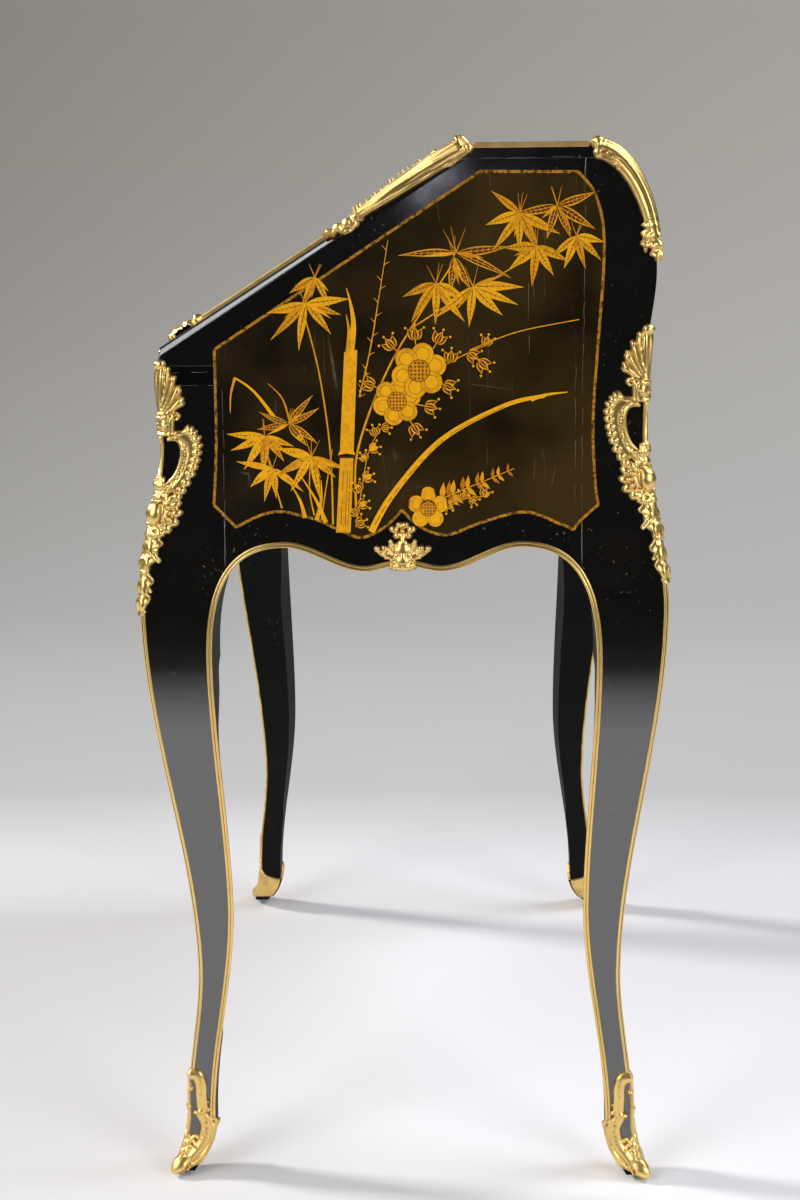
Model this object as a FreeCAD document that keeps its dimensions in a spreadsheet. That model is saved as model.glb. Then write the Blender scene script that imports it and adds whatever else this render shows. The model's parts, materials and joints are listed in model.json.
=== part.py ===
import FreeCAD, Part
import Sketcher
import math
import os
import re

# Lady's slant-front desk on cabriole legs. Millimetres, +Z up, the front with its sloping fall faces -Y,
# X runs along the width. The origin lies on the floor under the middle of the desk.

SIZES = [
    # overall and case
    ("knee_width", 681, "widest wood, knee to knee along X"),
    ("knee_depth", 456, "widest wood, knee to knee along Y"),
    ("writing_height", 762, "writing surface and hinge line above the floor"),
    ("upper_height", 179, "top board's upper face above the writing surface"),
    ("case_inset", 21, "upper case faces lie this far inside the knees"),
    ("stile_in", 74, "inner face of a corner stile, measured in from the knees"),
    ("end_thick", 18, "end panel"),
    ("board_thick", 16, "fall, front apron and back panel"),
    ("top_thick", 10, "top board"),
    ("seat_gap", 0.3, "room left between neighbours that move or are glued"),
    # cabriole template, the same on both faces of a leg
    ("foot_bottom", 5, "wooden foot above the floor, inside its sabot"),
    ("foot_height", 60, "start of the foot's flare on the outer curve"),
    ("foot_in", 20.5, "outer curve there, in from the knees"),
    ("foot_flare", 12, "foot's outward flare down to the floor"),
    ("instep_height", 48, "start of the foot's flare on the inner curve"),
    ("instep_thick", 23.5, "wood between the two curves there"),
    ("foot_thick", 16.5, "thickness of the wooden foot at the floor"),
    ("leg_hollow", 0.17, "taper of a leg's inner faces, seen in plan"),
    ("hollow_start", 3, "straight part of an inner face behind the outer face"),
    ("ankle_height", 200, "slimmest bend of the outer curve"),
    ("ankle_in", 33, "outer curve at the ankle"),
    ("calf_height", 270, "deepest bend of the inner curve"),
    ("calf_in", 66.8, "inner curve at the calf"),
    ("thigh_drop", 107, "start of the apron arch below its crowns"),
    ("thigh_in", 59.5, "inner curve where the apron arch starts"),
    ("knee_drop", 212, "widest point of the outer curve below the writing surface"),
    ("waist_drop", 62, "outer curve runs into the upper case this far below the writing surface"),
    # apron outline
    ("crown_drop", 155, "highest points of the apron edge below the writing surface"),
    ("pendant_drop", 20.5, "lowest points beside the middle, below the crowns"),
    ("centre_drop", 15, "middle of the apron edge, below the crowns"),
    ("arch_rise", 80, "handle of the arch at the leg"),
    ("arch_run", 45, "handle of the arch at the crown"),
    ("end_crown_in", 126, "crown on the ends, in from the knees"),
    ("end_pendant_in", 195, "pendant on the ends, in from the knees"),
    ("long_crown_in", 150, "crown on the front and back"),
    ("long_pendant_in", 290, "pendant on the front and back"),
    # curved back
    ("back_swell", 7.5, "swell of the upper back beyond the case face"),
    ("swell_drop", 103, "middle of that swell below the top"),
    ("shoulder_in", 47, "top board's rear edge, in from the case face"),
    ("shoulder_rise", 0.62, "upright handle of the rounded shoulder, as a share of its height"),
    ("shoulder_run", 0.55, "level handle of the rounded shoulder, as a share of its depth"),
    # fall and writing board
    ("top_depth", 104.73, "top board from the crest of the slope to the shoulder"),
    ("hinge_in", 6, "hinge line behind the case front"),
    ("fall_stop", 16.1, "nose of the top board between the fall and the crest, along the slope"),
    ("fall_play", 0.5, "room round the fall's edges"),
    ("rail_depth", 20, "front rail under the top board"),
    ("leather_margin", 38, "leather inside the fall's edges"),
    ("leather_thick", 0.8, "leather, laid in a sinking"),
    # hinges
    ("hinge_at", 200, "hinge middle from the desk's middle"),
    ("hinge_length", 60, "length of a hinge"),
    ("leaf_reach", 26, "leaf width from the pin"),
    ("leaf_thick", 1.6, "leaf plate"),
    ("barrel_radius", 3.6, "outside of a knuckle"),
    ("pin_radius", 1.5, "hinge pin"),
    ("pin_play", 0.05, "running clearance of pins and shafts"),
    ("cut_play", 0.4, "room round barrels and plates"),
    # lock
    ("lock_width", 56, "lock case across the fall"),
    ("lock_height", 34, "lock case along the slope"),
    ("lock_thick", 9, "lock case into the fall"),
    ("bolt_width", 22, "bolt across the fall"),
    ("bolt_thick", 4, "bolt plate"),
    ("bolt_length", 12, "bolt along the slope"),
    ("bolt_throw", 6, "bolt travel"),
    ("keyhole_radius", 2.8, "keyhole"),
    ("keyhole_drop", 20, "keyhole below the fall's upper edge"),
    ("strike_thick", 1.6, "strike plate"),
    ("strike_lap", 8, "strike plate beyond the bolt at each end"),
    ("strike_edge", 1.5, "strike plate beyond the bolt at each side"),
    # lopers, well and case bottom
    ("loper_width", 18, "loper across"),
    ("loper_height", 46, "loper depth"),
    ("loper_length", 300, "loper from front to back"),
    ("guide_thick", 12, "upright of a loper guide"),
    ("guide_shelf", 9, "shelf under a loper"),
    ("bottom_rise", 5, "case bottom above the crowns of the apron"),
    ("bottom_thick", 8, "case bottom"),
    ("well_width", 240, "well mouth across"),
    ("well_depth", 130, "well mouth from front to back"),
    ("cover_lip", 10, "cover beyond the mouth on each side"),
    ("cover_thick", 7.6, "sliding cover"),
    ("cover_sink", 8, "sinking that the cover runs in"),
    ("scoop_radius", 12, "finger scoop in the cover"),
    # gallery and drawers
    ("gallery_depth", 114, "drawer fronts in front of the back stiles"),
    ("holes_depth", 74, "pigeonholes in front of the back stiles"),
    ("gallery_board", 6, "shelf and dividers"),
    ("drawer_height", 50, "drawer front"),
    ("drawer_play", 0.6, "room round a drawer"),
    ("drawer_wall", 5, "drawer sides, back and bottom"),
    ("drawer_face", 8, "drawer front board"),
    ("drawer_clear", 10, "room behind a drawer"),
    # knobs
    ("knob_radius", 7, "head of a knob"),
    ("knob_neck", 3, "neck of a knob"),
    ("knob_length", 12, "knob in front of its board"),
    # gilt bronze
    ("fillet_width", 4, "fillet across the face"),
    ("fillet_proud", 1.8, "fillet in front of the face"),
    ("fillet_foot", 52, "lower end of the fillets"),
    ("chute_rise", 3, "top of a corner chute above the writing surface"),
    ("chute_length", 219, "corner chute, top to tip"),
    ("chute_lift", 27, "back chutes sit this much higher"),
    ("chute_wing", 35, "widest wing of a chute"),
    ("chute_proud", 5, "chute in front of the face"),
    ("sabot_top", 100, "top of a sabot"),
    ("sabot_wall", 2.5, "sabot round the foot"),
    ("toe_reach", 11.5, "toe beyond the wooden foot"),
    ("toe_height", 24, "top of the toe scroll"),
    ("moulding_width", 6, "top and fall mouldings"),
    ("moulding_proud", 3.5, "top and fall mouldings above their face"),
    ("moulding_seat", 1, "rebate in the top board under its moulding"),
    ("fall_margin", 14, "fall moulding inside the fall's edge"),
    ("clasp_proud", 13, "slope clasps above the slope"),
    ("back_clasp_proud", 7, "back clasps beyond the back"),
    ("back_clasp_drop", 95, "lower end of the back clasps below the top"),
    ("clasp_lap", 3, "clasps down over the end face"),
    ("clasp_length", 137, "slope clasp along the slope"),
    ("clasp_wrap", 4, "clasps beyond the end face"),
    ("cartouche_width", 50, "apron cartouche"),
    ("cartouche_height", 37, "apron cartouche"),
    ("cartouche_drop", 1, "apron cartouche below the lowest points of the apron"),
    ("cartouche_proud", 6, "apron cartouche in front of the face"),
    ("corner_mount", 30, "leaf mounts on the fall's lower corners"),
    ("shield_width", 40, "escutcheon across the fall"),
    ("shield_length", 66, "escutcheon along the slope"),
    ("shield_proud", 5, "escutcheon above the fall"),
]

doc = FreeCAD.newDocument("slant_front_desk")
sheet = doc.addObject("Spreadsheet::Sheet", "Sizes")
for row, (alias, value, note) in enumerate(SIZES, 1):
    sheet.set("A%d" % row, alias)
    sheet.set("B%d" % row, str(value))
    sheet.setAlias("B%d" % row, alias)
    sheet.set("C%d" % row, note)
doc.recompute()

NAMES = {alias for alias, value, note in SIZES}
V = FreeCAD.Vector
parts = []


def size(alias):
    return float(sheet.get(alias))


def bound(text):
    """An expression in sheet names, written so that the document can read it."""

    def named(word):
        return "Sizes." + word.group() if word.group() in NAMES else word.group()

    return re.sub(r"[a-z_]+", named, text)


def node(obj, label):
    """Keep an object as the finished sub-part of that name."""
    obj.Label = label
    parts.append(obj)
    return obj


def box(name, low, high):
    """A box between two corners, each coordinate an expression."""
    obj = doc.addObject("Part::Box", name)
    for side, place, a, b in zip(("Length", "Width", "Height"), "xyz", low, high):
        obj.setExpression(side, bound("(%s) - (%s)" % (b, a)))
        obj.setExpression("Placement.Base." + place, bound(a))
    return obj


def cylinder(name, radius, length, centre, axis="z"):
    """A cylinder that starts at a point and runs along an axis."""
    obj = doc.addObject("Part::Cylinder", name)
    obj.setExpression("Radius", bound(radius))
    obj.setExpression("Height", bound(length))
    turn = FreeCAD.Rotation(V(0, 1, 0), 90) if axis == "x" else FreeCAD.Rotation()
    obj.Placement = FreeCAD.Placement(V(), turn)
    for place, value in zip("xyz", centre):
        obj.setExpression("Placement.Base." + place, bound(value))
    return obj


def cut(name, base, tools):
    """A base less one or more tools."""
    for number, tool in enumerate(tools):
        step = doc.addObject("Part::Cut", "%s_cut%d" % (name, number))
        step.Base = base
        step.Tool = tool
        base = step
    return base


def fuse(name, shapes):
    obj = doc.addObject("Part::MultiFuse", name)
    obj.Shapes = shapes
    return obj


def group(name, shapes):
    obj = doc.addObject("Part::Compound", name)
    obj.Links = shapes
    return obj


def solid(name, shape):
    """A shape made with the curve functions below."""
    obj = doc.addObject("Part::Feature", name)
    obj.Shape = shape
    return obj


def on_slope(obj):
    """Lay a piece that was drawn flat, hinge line at its origin, onto the closed fall."""
    obj.Placement = FreeCAD.Placement(V(), FreeCAD.Rotation(V(1, 0, 0), 1))
    obj.setExpression("Placement.Base.y", bound(HINGE_Y))
    obj.setExpression("Placement.Base.z", bound("writing_height"))
    obj.setExpression("Placement.Rotation.Angle", bound(SLOPE))
    return obj


# Curves. A point of an outline is (inset from the knee plane, height).
half_width = size("knee_width") / 2
half_depth = size("knee_depth") / 2
inset = size("case_inset")
seat = size("seat_gap")
writing = size("writing_height")
upper = size("upper_height")
top = writing + upper
case_x = half_width - inset
case_y = half_depth - inset
end_x = case_x - size("end_thick")
stile_x = half_width - size("stile_in")
stile_y = half_depth - size("stile_in")
hinge_y = size("hinge_in") - case_y
thick = size("board_thick")
shoulder_y = case_y - size("shoulder_in")
crest_y = shoulder_y - size("top_depth")
crest = math.sqrt((crest_y - hinge_y) ** 2 + upper ** 2 - thick ** 2)
slope = math.atan2(upper, crest_y - hinge_y) - math.atan2(thick, crest)
fall_length = crest - size("fall_stop")
waist_height = writing - size("waist_drop")
knee_height = writing - size("knee_drop")
crown_height = writing - size("crown_drop")
thigh_height = crown_height - size("thigh_drop")
pendant_height = crown_height - size("pendant_drop")
centre_height = crown_height - size("centre_drop")
swell_height = top - size("swell_drop")
board_bottom = writing - thick - seat
top_bottom = top - size("top_thick")
FAR = 2 * top


def line(a, b):
    return [a, b]


def upright_curve(a, b):
    """An S-curve that leaves and arrives upright, as a sawn cabriole does."""
    rise = (b[1] - a[1]) / 3
    return [a, (a[0], a[1] + rise), (b[0], b[1] - rise), b]


def level_curve(a, b):
    """An S-curve that leaves and arrives level, as an apron edge does."""
    run = (b[0] - a[0]) / 3
    return [a, (a[0] + run, a[1]), (b[0] - run, b[1]), b]


def flare_curve(a, b):
    """A foot's curve: leaning at the floor, upright above."""
    rise = b[1] - a[1]
    return [a, (a[0] + 0.5 * (b[0] - a[0]), a[1] + 0.3 * rise), (b[0], a[1] + 0.6 * rise), b]


def outer_chain(grow, head):
    """The outside of a leg and stile, foot to head, moved out by grow."""
    foot = size("foot_in") - grow
    waist = inset - grow
    stations = [(foot, size("foot_height")), (size("ankle_in") - grow, size("ankle_height")),
                (-grow, knee_height), (waist, waist_height)]
    chain = [flare_curve((foot - size("foot_flare"), size("foot_bottom")), stations[0])]
    chain += [upright_curve(a, b) for a, b in zip(stations, stations[1:])]
    return chain + [line(stations[-1], (waist, head))]


def back_chain(grow):
    """The back's outside: the leg, then a slow swell and a rounded shoulder."""
    swell = (inset - size("back_swell") - grow, swell_height)
    shoulder = (inset + size("shoulder_in"), top + grow)
    chain = outer_chain(grow, writing)
    chain.append(upright_curve(chain[-1][-1], swell))
    lift = size("shoulder_rise") * (shoulder[1] - swell[1])
    run = size("shoulder_run") * size("shoulder_in")
    chain.append([swell, (swell[0], swell[1] + lift), (shoulder[0] - run, shoulder[1]), shoulder])
    return chain


def arch_chain(half, crown_in, pendant_in, grow):
    """The inside of a leg and half of the apron edge, foot to middle, moved into the wood by grow."""
    foot = (size("foot_in") - size("foot_flare") + size("foot_thick") - grow, size("foot_bottom"))
    instep = (size("foot_in") + size("instep_thick") - grow, size("instep_height"))
    calf = (size("calf_in") - grow, size("calf_height"))
    thigh = (size("thigh_in") - grow, thigh_height)
    crown = (crown_in, crown_height + grow)
    pendant = (pendant_in, pendant_height + grow)
    centre = (half, centre_height + grow)
    arch = [thigh, (thigh[0], thigh[1] + size("arch_rise")), (crown[0] - size("arch_run"), crown[1]), crown]
    return [flare_curve(foot, instep), upright_curve(instep, calf), upright_curve(calf, thigh), arch,
            level_curve(crown, pendant), level_curve(pendant, centre)]


def reversed_chain(chain):
    return [poles[::-1] for poles in reversed(chain)]


def placed(chain, place):
    """The edges of a chain, each point put in space by place."""
    edges = []
    for poles in chain:
        points = [place(inward, height) for inward, height in poles]
        if len(points) == 2:
            edges.append(Part.makeLine(*points))
        else:
            curve = Part.BezierCurve()
            curve.setPoles(points)
            edges.append(curve.toShape())
    return edges


def prism(edges, way):
    """The solid swept by a closed outline along a vector; ends of edges are joined by straight lines."""
    joined = []
    for edge, following in zip(edges, edges[1:] + edges[:1]):
        joined.append(edge)
        ends = edge.valueAt(edge.LastParameter), following.valueAt(following.FirstParameter)
        if ends[0].distanceToPoint(ends[1]) > 1e-6:
            joined.append(Part.makeLine(*ends))
    return Part.Face(Part.Wire(joined)).extrude(way)


def front_point(inward, height):
    return V(-FAR, inward - half_depth, height)


def back_point(inward, height):
    return V(-FAR, half_depth - inward, height)


def left_point(inward, height):
    return V(inward - half_width, -FAR, height)


def right_point(inward, height):
    return V(half_width - inward, -FAR, height)


def slope_height(y):
    """Height of the closed fall's outer face above a place in the depth."""
    edge_y = hinge_y - thick * math.sin(slope)
    edge_z = writing + thick * math.cos(slope)
    return edge_z + (y - edge_y) * math.tan(slope)


def end_arch(grow):
    return arch_chain(half_depth, size("end_crown_in"), size("end_pendant_in"), grow)


def long_arch(grow):
    return arch_chain(half_width, size("long_crown_in"), size("long_pendant_in"), grow)


def end_sheet(grow):
    """The desk's outline seen from an end, swept across the width."""
    arch = end_arch(0)
    front = outer_chain(grow, slope_height(-case_y - grow))
    edges = placed(front, front_point)
    edges.append(Part.makeLine(edges[-1].valueAt(edges[-1].LastParameter), V(-FAR, crest_y, top)))
    edges.append(Part.makeLine(V(-FAR, crest_y, top), back_point(inset + size("shoulder_in"), top + grow)))
    edges += placed(reversed_chain(back_chain(grow)), back_point)
    edges += placed(arch, back_point)
    edges += placed(reversed_chain(arch), front_point)
    return prism(edges, V(2 * FAR, 0, 0))


def long_sheet(grow):
    """The desk's outline seen from the front, swept through the depth."""
    arch = long_arch(0)
    edges = placed(outer_chain(grow, FAR), left_point)
    edges += placed(reversed_chain(outer_chain(grow, FAR)), right_point)
    edges += placed(arch, right_point)
    edges += placed(reversed_chain(arch), left_point)
    return prism(edges, V(0, 2 * FAR, 0))


def block(low, high):
    return Part.makeBox(high[0] - low[0], high[1] - low[1], high[2] - low[2], V(*low))


def leaned(shape):
    """Lay a shape drawn in the closed fall's own frame onto the slope."""
    lean = FreeCAD.Rotation(V(1, 0, 0), math.degrees(slope))
    shape.Placement = FreeCAD.Placement(V(0, hinge_y, writing), lean)
    return shape


def tilted(low, high):
    """A block in the closed fall's own frame: hinge line at its origin, y up the slope, z outwards."""
    return leaned(block(low, high))


def flip_x(shape):
    return shape.mirror(V(), V(1, 0, 0))


end_mass = end_sheet(0)
long_mass = long_sheet(0)
core = end_mass.common(long_mass)


# Legs with their stiles, cut from the two sawn outlines. Below the apron the inner faces are hollowed: they
# taper away behind the outer faces, so that a leg looks no thicker than its face
HOLLOW_STEPS = 13
HOLLOW_CLEAR = 4


def along_curve(stations, height):
    """Inset at a height on a chain of upright curves."""
    for a, b in zip(stations, stations[1:]):
        if height <= b[1]:
            share = max((height - a[1]) / (b[1] - a[1]), 0)
            return a[0] + (b[0] - a[0]) * share * share * (3 - 2 * share)
    return stations[-1][0]


def hollow(corner):
    """The wedge behind one outer face, above the sabot and below the arch."""
    outer = [(size("foot_in"), size("foot_height")), (size("ankle_in"), size("ankle_height")), (0, knee_height)]
    inner = [(size("foot_in") + size("instep_thick"), size("instep_height")),
             (size("calf_in"), size("calf_height")), (size("thigh_in"), thigh_height)]
    low, high = size("sabot_top"), thigh_height
    sections = []
    for step in range(HOLLOW_STEPS):
        share = step / (HOLLOW_STEPS - 1)
        height = low + share * (high - low)
        fade = min(1, share * HOLLOW_STEPS / 2, (1 - share) * HOLLOW_STEPS / 3)
        face = along_curve(outer, height) + size("hollow_start")
        edge = along_curve(inner, height)
        far = edge + HOLLOW_CLEAR
        clear = edge + seat + (1 - fade)
        deep = clear - fade * size("leg_hollow") * (far - face)
        rim = [(face, clear), (far, deep), (far, far), (face, far)]
        sections.append(Part.makePolygon([corner(a, b, height) for a, b in rim + rim[:1]]))
    return Part.makeLoft(sections, True, False)


def hollowed(leg, side):
    """A right-hand leg, less the wedges behind its two faces; side is -1 at the front."""
    behind_end = hollow(lambda face, edge, z: V(half_width - face, side * (half_depth - edge), z))
    behind_long = hollow(lambda face, edge, z: V(half_width - edge, side * (half_depth - face), z))
    return leg.cut([behind_end, behind_long])


front_leg = hollowed(core.common(block((stile_x, -FAR, 0), (FAR, -stile_y, board_bottom))), -1)
back_leg = hollowed(core.common(block((stile_x, stile_y, 0), (FAR, FAR, top_bottom))), 1)
for place, leg in (("front", front_leg), ("back", back_leg)):
    node(solid("leg_%s_r" % place, leg), "leg_%s_right" % place)
    node(solid("leg_%s_l" % place, flip_x(leg)), "leg_%s_left" % place)

# End panels: between the stiles below, running forward over the writing board above
end_below = core.common(block((end_x, -stile_y, 0), (FAR, stile_y, board_bottom)))
end_above = core.common(block((end_x, -FAR, writing), (FAR, stile_y, top_bottom)))
end_middle = core.common(block((end_x, -stile_y, board_bottom), (FAR, stile_y, writing)))
end_panel = end_below.fuse([end_middle, end_above]).removeSplitter()
node(solid("end_r", end_panel), "side_panel_right")
node(solid("end_l", flip_x(end_panel)), "side_panel_left")

# Front apron with the two loper mouths, and the curved back panel
loper_out = stile_x - seat
loper_in = loper_out - size("loper_width")
pad_top = board_bottom - seat
loper_top = pad_top - size("shield_proud") - seat
loper_low = loper_top - size("loper_height")
mouths = []
for side in (1, -1):
    xs = sorted((side * (loper_in - seat), side * stile_x))
    mouths.append(block((xs[0], -FAR, loper_low - seat), (xs[1], 0, FAR)))
apron = core.common(block((-stile_x, -FAR, 0), (stile_x, thick - case_y, board_bottom)))
node(solid("apron", apron.cut(mouths)), "front_apron")
back_low = core.common(block((-stile_x, case_y - thick, 0), (stile_x, FAR, writing)))
back_high = core.common(block((-stile_x, stile_y, writing), (stile_x, FAR, top_bottom)))
back_high = back_high.cut(back_high.translated(V(0, -thick, 0)))
back_high = back_high.common(block((-stile_x, shoulder_y, writing), (stile_x, FAR, top_bottom)))
node(solid("back", back_low.fuse(back_high).removeSplitter()), "back_panel")

# Top board with the rail that the fall closes against
head = fall_length + size("fall_play")
top_slab = core.common(block((-FAR, -FAR, top_bottom), (FAR, FAR, FAR)))
fall_room = tilted((-end_x, -FAR, 0), (end_x, head, FAR))
rail = tilted((-end_x, head, 0), (end_x, head + size("rail_depth"), thick)).common(core)
bolt_half = size("bolt_width") / 2 + size("cut_play")
bolt_low = (size("lock_thick") - size("bolt_thick")) / 2
slot_low = bolt_low - size("cut_play")
slot_high = bolt_low + size("bolt_thick") + size("cut_play")
plate = size("strike_thick")
slot_end = head + size("bolt_throw") + plate
bolt_slot = tilted((-bolt_half, head - plate, slot_low), (bolt_half, slot_end, slot_high))
strike_half = bolt_half + size("strike_lap")
strike_low = slot_low - size("strike_edge")
strike_high = slot_high + size("strike_edge")
strike_room = tilted((-strike_half, head - plate, strike_low), (strike_half, head + plate, strike_high))
strike = tilted((-strike_half, head, strike_low), (strike_half, head + plate, strike_high))
node(solid("strike", strike.cut(bolt_slot)), "strike_plate")
top_board = top_slab.cut(fall_room).fuse(rail).removeSplitter()
lap = size("clasp_lap")
mould = size("moulding_width")
mould_low = top - size("moulding_seat")
mould_high = top + size("moulding_proud")
mould_front = crest_y + 2 * lap
mould_back = shoulder_y - lap - seat
frame_out = block((-case_x, mould_front, mould_low), (case_x, mould_back, mould_high))
frame_in = block((mould - case_x, mould_front + mould, mould_low),
                 (case_x - mould, mould_back - mould, mould_high))
top_frame = frame_out.cut(frame_in)
node(solid("top_frame", top_frame), "top_moulding")
node(solid("top_board_solid", top_board.cut([bolt_slot, strike_room, top_frame])), "top_board")

# Places in the case, as expressions of the sheet
CASE_X = "(knee_width / 2 - case_inset)"
CASE_Y = "(knee_depth / 2 - case_inset)"
END_X = "(knee_width / 2 - case_inset - end_thick)"
STILE_X = "(knee_width / 2 - stile_in)"
STILE_Y = "(knee_depth / 2 - stile_in)"
WALL_Y = "(knee_depth / 2 - case_inset - board_thick)"
HINGE_Y = "(case_inset + hinge_in - knee_depth / 2)"
BOARD_LOW = "(writing_height - board_thick - seat_gap)"
BOTTOM = "(writing_height - crown_drop + bottom_rise)"
FLOOR = "(%s + bottom_thick)" % BOTTOM
RUN = "(knee_depth - 2 * case_inset - hinge_in - shoulder_in - top_depth)"
CREST = "sqrt(%s ^ 2 + upper_height ^ 2 - board_thick ^ 2)" % RUN
SLOPE = "(atan2(upper_height; %s) - atan2(board_thick; %s))" % (RUN, CREST)
FALL = "(%s - fall_stop)" % CREST
GALLERY = "(knee_depth / 2 - stile_in - gallery_depth)"
HOLES = "(knee_depth / 2 - stile_in - holes_depth)"
WELL_BACK = "(%s - cover_lip)" % GALLERY
WELL_FRONT = "(%s - well_depth)" % WELL_BACK
LOPER_OUT = "(knee_width / 2 - stile_in - seat_gap)"
LOPER_IN = "(knee_width / 2 - stile_in - seat_gap - loper_width)"
PAD_TOP = "(writing_height - board_thick - 2 * seat_gap)"
LOPER_TOP = "(writing_height - board_thick - 3 * seat_gap - shield_proud)"
LOPER_LOW = "(writing_height - board_thick - 3 * seat_gap - shield_proud - loper_height)"
FALL_HALF = "(knee_width / 2 - case_inset - end_thick - fall_play)"
BAY = "((knee_width - 2 * case_inset - 2 * end_thick - 2 * gallery_board) / 3)"
SHELF_LOW = "(writing_height + drawer_height)"
COVER_HALF = "(well_width / 2 + cover_lip)"


def minus(text):
    return "-(%s)" % text


def wide(name, half, y, z):
    """A box centred on the desk's middle plane."""
    return box(name, (minus(half), y[0], z[0]), (half, y[1], z[1]))


def pair(name, xs, y, z):
    """The same box at the right and at the left of the middle plane."""
    right = box(name + "_r", (xs[0], y[0], z[0]), (xs[1], y[1], z[1]))
    left = box(name + "_l", (minus(xs[1]), y[0], z[0]), (minus(xs[0]), y[1], z[1]))
    return [right, left]


# Case bottom, notched round the stiles
bottom = wide("bottom_slab", END_X, (minus(WALL_Y), WALL_Y), (BOTTOM, FLOOR))
notches = pair("bottom_front", (STILE_X, CASE_X), (minus(CASE_Y), minus(STILE_Y)), (BOTTOM, FLOOR))
notches += pair("bottom_back", (STILE_X, CASE_X), (STILE_Y, CASE_Y), (BOTTOM, FLOOR))
node(cut("bottom", bottom, notches), "case_bottom")

# Loper guides: an upright on the case bottom with a shelf for the loper
UPRIGHT_OUT = "(%s - seat_gap)" % LOPER_IN
uprights = pair("guide_upright", ("%s - guide_thick" % UPRIGHT_OUT, UPRIGHT_OUT),
                (minus(WALL_Y), WALL_Y), (FLOOR, BOARD_LOW))
SHELF_TOP = "(%s - seat_gap)" % LOPER_LOW
shelves = pair("guide_ledge", (UPRIGHT_OUT, STILE_X), (minus(WALL_Y), WALL_Y),
               ("%s - guide_shelf" % SHELF_TOP, SHELF_TOP))
lopers = pair("loper_bar", (LOPER_IN, LOPER_OUT), (minus(CASE_Y), "loper_length - %s" % CASE_Y),
              (LOPER_LOW, LOPER_TOP))
pads = pair("loper_pad", (LOPER_IN, LOPER_OUT), (minus(CASE_Y), "2 * loper_width - %s" % CASE_Y),
            (LOPER_TOP, PAD_TOP))
for index, side in enumerate(("right", "left")):
    node(fuse("guide_" + side, [uprights[index], shelves[index]]), "loper_guide_" + side)
    node(fuse("loper_bar_" + side, [lopers[index], pads[index]]), "loper_" + side)

# Writing board with its ears over the front stiles, the well mouth and the cover's sinking
slab = wide("board_slab", END_X, ("%s + seat_gap" % HINGE_Y, WALL_Y), (BOARD_LOW, "writing_height"))
ears = pair("board_ear", (END_X, CASE_X), (minus(CASE_Y), minus(STILE_Y)), (BOARD_LOW, "writing_height"))
rear = pair("board_rear", (STILE_X, CASE_X), (STILE_Y, CASE_Y), (BOARD_LOW, "writing_height"))
mouth = wide("well_mouth", "well_width / 2", (WELL_FRONT, WELL_BACK),
             (BOARD_LOW, "writing_height"))
sink = wide("cover_sinking", "%s + seat_gap" % COVER_HALF,
            (WELL_FRONT + " - cover_lip - seat_gap", CASE_Y),
            ("writing_height - cover_sink", "writing_height"))
leaf_rooms = []
barrel_rooms = []
for side, sign in (("right", ""), ("left", "-")):
    at = sign + "hinge_at"
    half = "(hinge_length / 2 + cut_play)"
    leaf_rooms.append(box("leaf_room_" + side,
                          ("%s - %s" % (at, half), HINGE_Y, "writing_height - leaf_thick"),
                          ("%s + %s" % (at, half), "%s + leaf_reach + cut_play" % HINGE_Y, "writing_height")))
    barrel_rooms.append(cylinder("barrel_room_" + side, "barrel_radius + cut_play", "2 * %s" % half,
                                 ("%s - %s" % (at, half), HINGE_Y, "writing_height"), "x"))
board = fuse("board_with_ears", [slab] + ears)
node(cut("board", board, rear + [mouth, sink] + leaf_rooms + barrel_rooms), "writing_board")

# Sliding cover of the well, with a finger scoop
lid = wide("cover_slab", COVER_HALF, (WELL_FRONT + " - cover_lip", GALLERY),
           ("writing_height - cover_sink", "writing_height - cover_sink + cover_thick"))
scoop = cylinder("cover_scoop", "scoop_radius", "cover_thick / 2",
                 ("0", WELL_FRONT + " + 2 * scoop_radius", "writing_height - cover_sink + cover_thick / 2"))
node(cut("cover", lid, [scoop]), "well_cover")

# Gallery: shelf over the drawers, two dividers between them, four dividers for five pigeonholes
shelf = wide("shelf_slab", END_X, (GALLERY, STILE_Y), (SHELF_LOW, SHELF_LOW + " + gallery_board"))
node(shelf, "gallery_shelf")
lower = pair("drawer_divider", ("%s / 2" % BAY, "%s / 2 + gallery_board" % BAY), (GALLERY, STILE_Y),
             ("writing_height", SHELF_LOW))
node(group("lower_dividers", lower), "gallery_lower_dividers")
HOLE = "((knee_width - 2 * case_inset - 2 * end_thick - 4 * gallery_board) / 5)"
upper = []
for number in (0, 1):
    start = "(%s / 2 + %d * (%s + gallery_board))" % (HOLE, number, HOLE)
    upper += pair("hole_divider_%d" % number, (start, start + " + gallery_board"), (HOLES, STILE_Y),
                  (SHELF_LOW + " + gallery_board", "writing_height + upper_height - top_thick"))
node(group("upper_dividers", upper), "gallery_upper_dividers")


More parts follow.
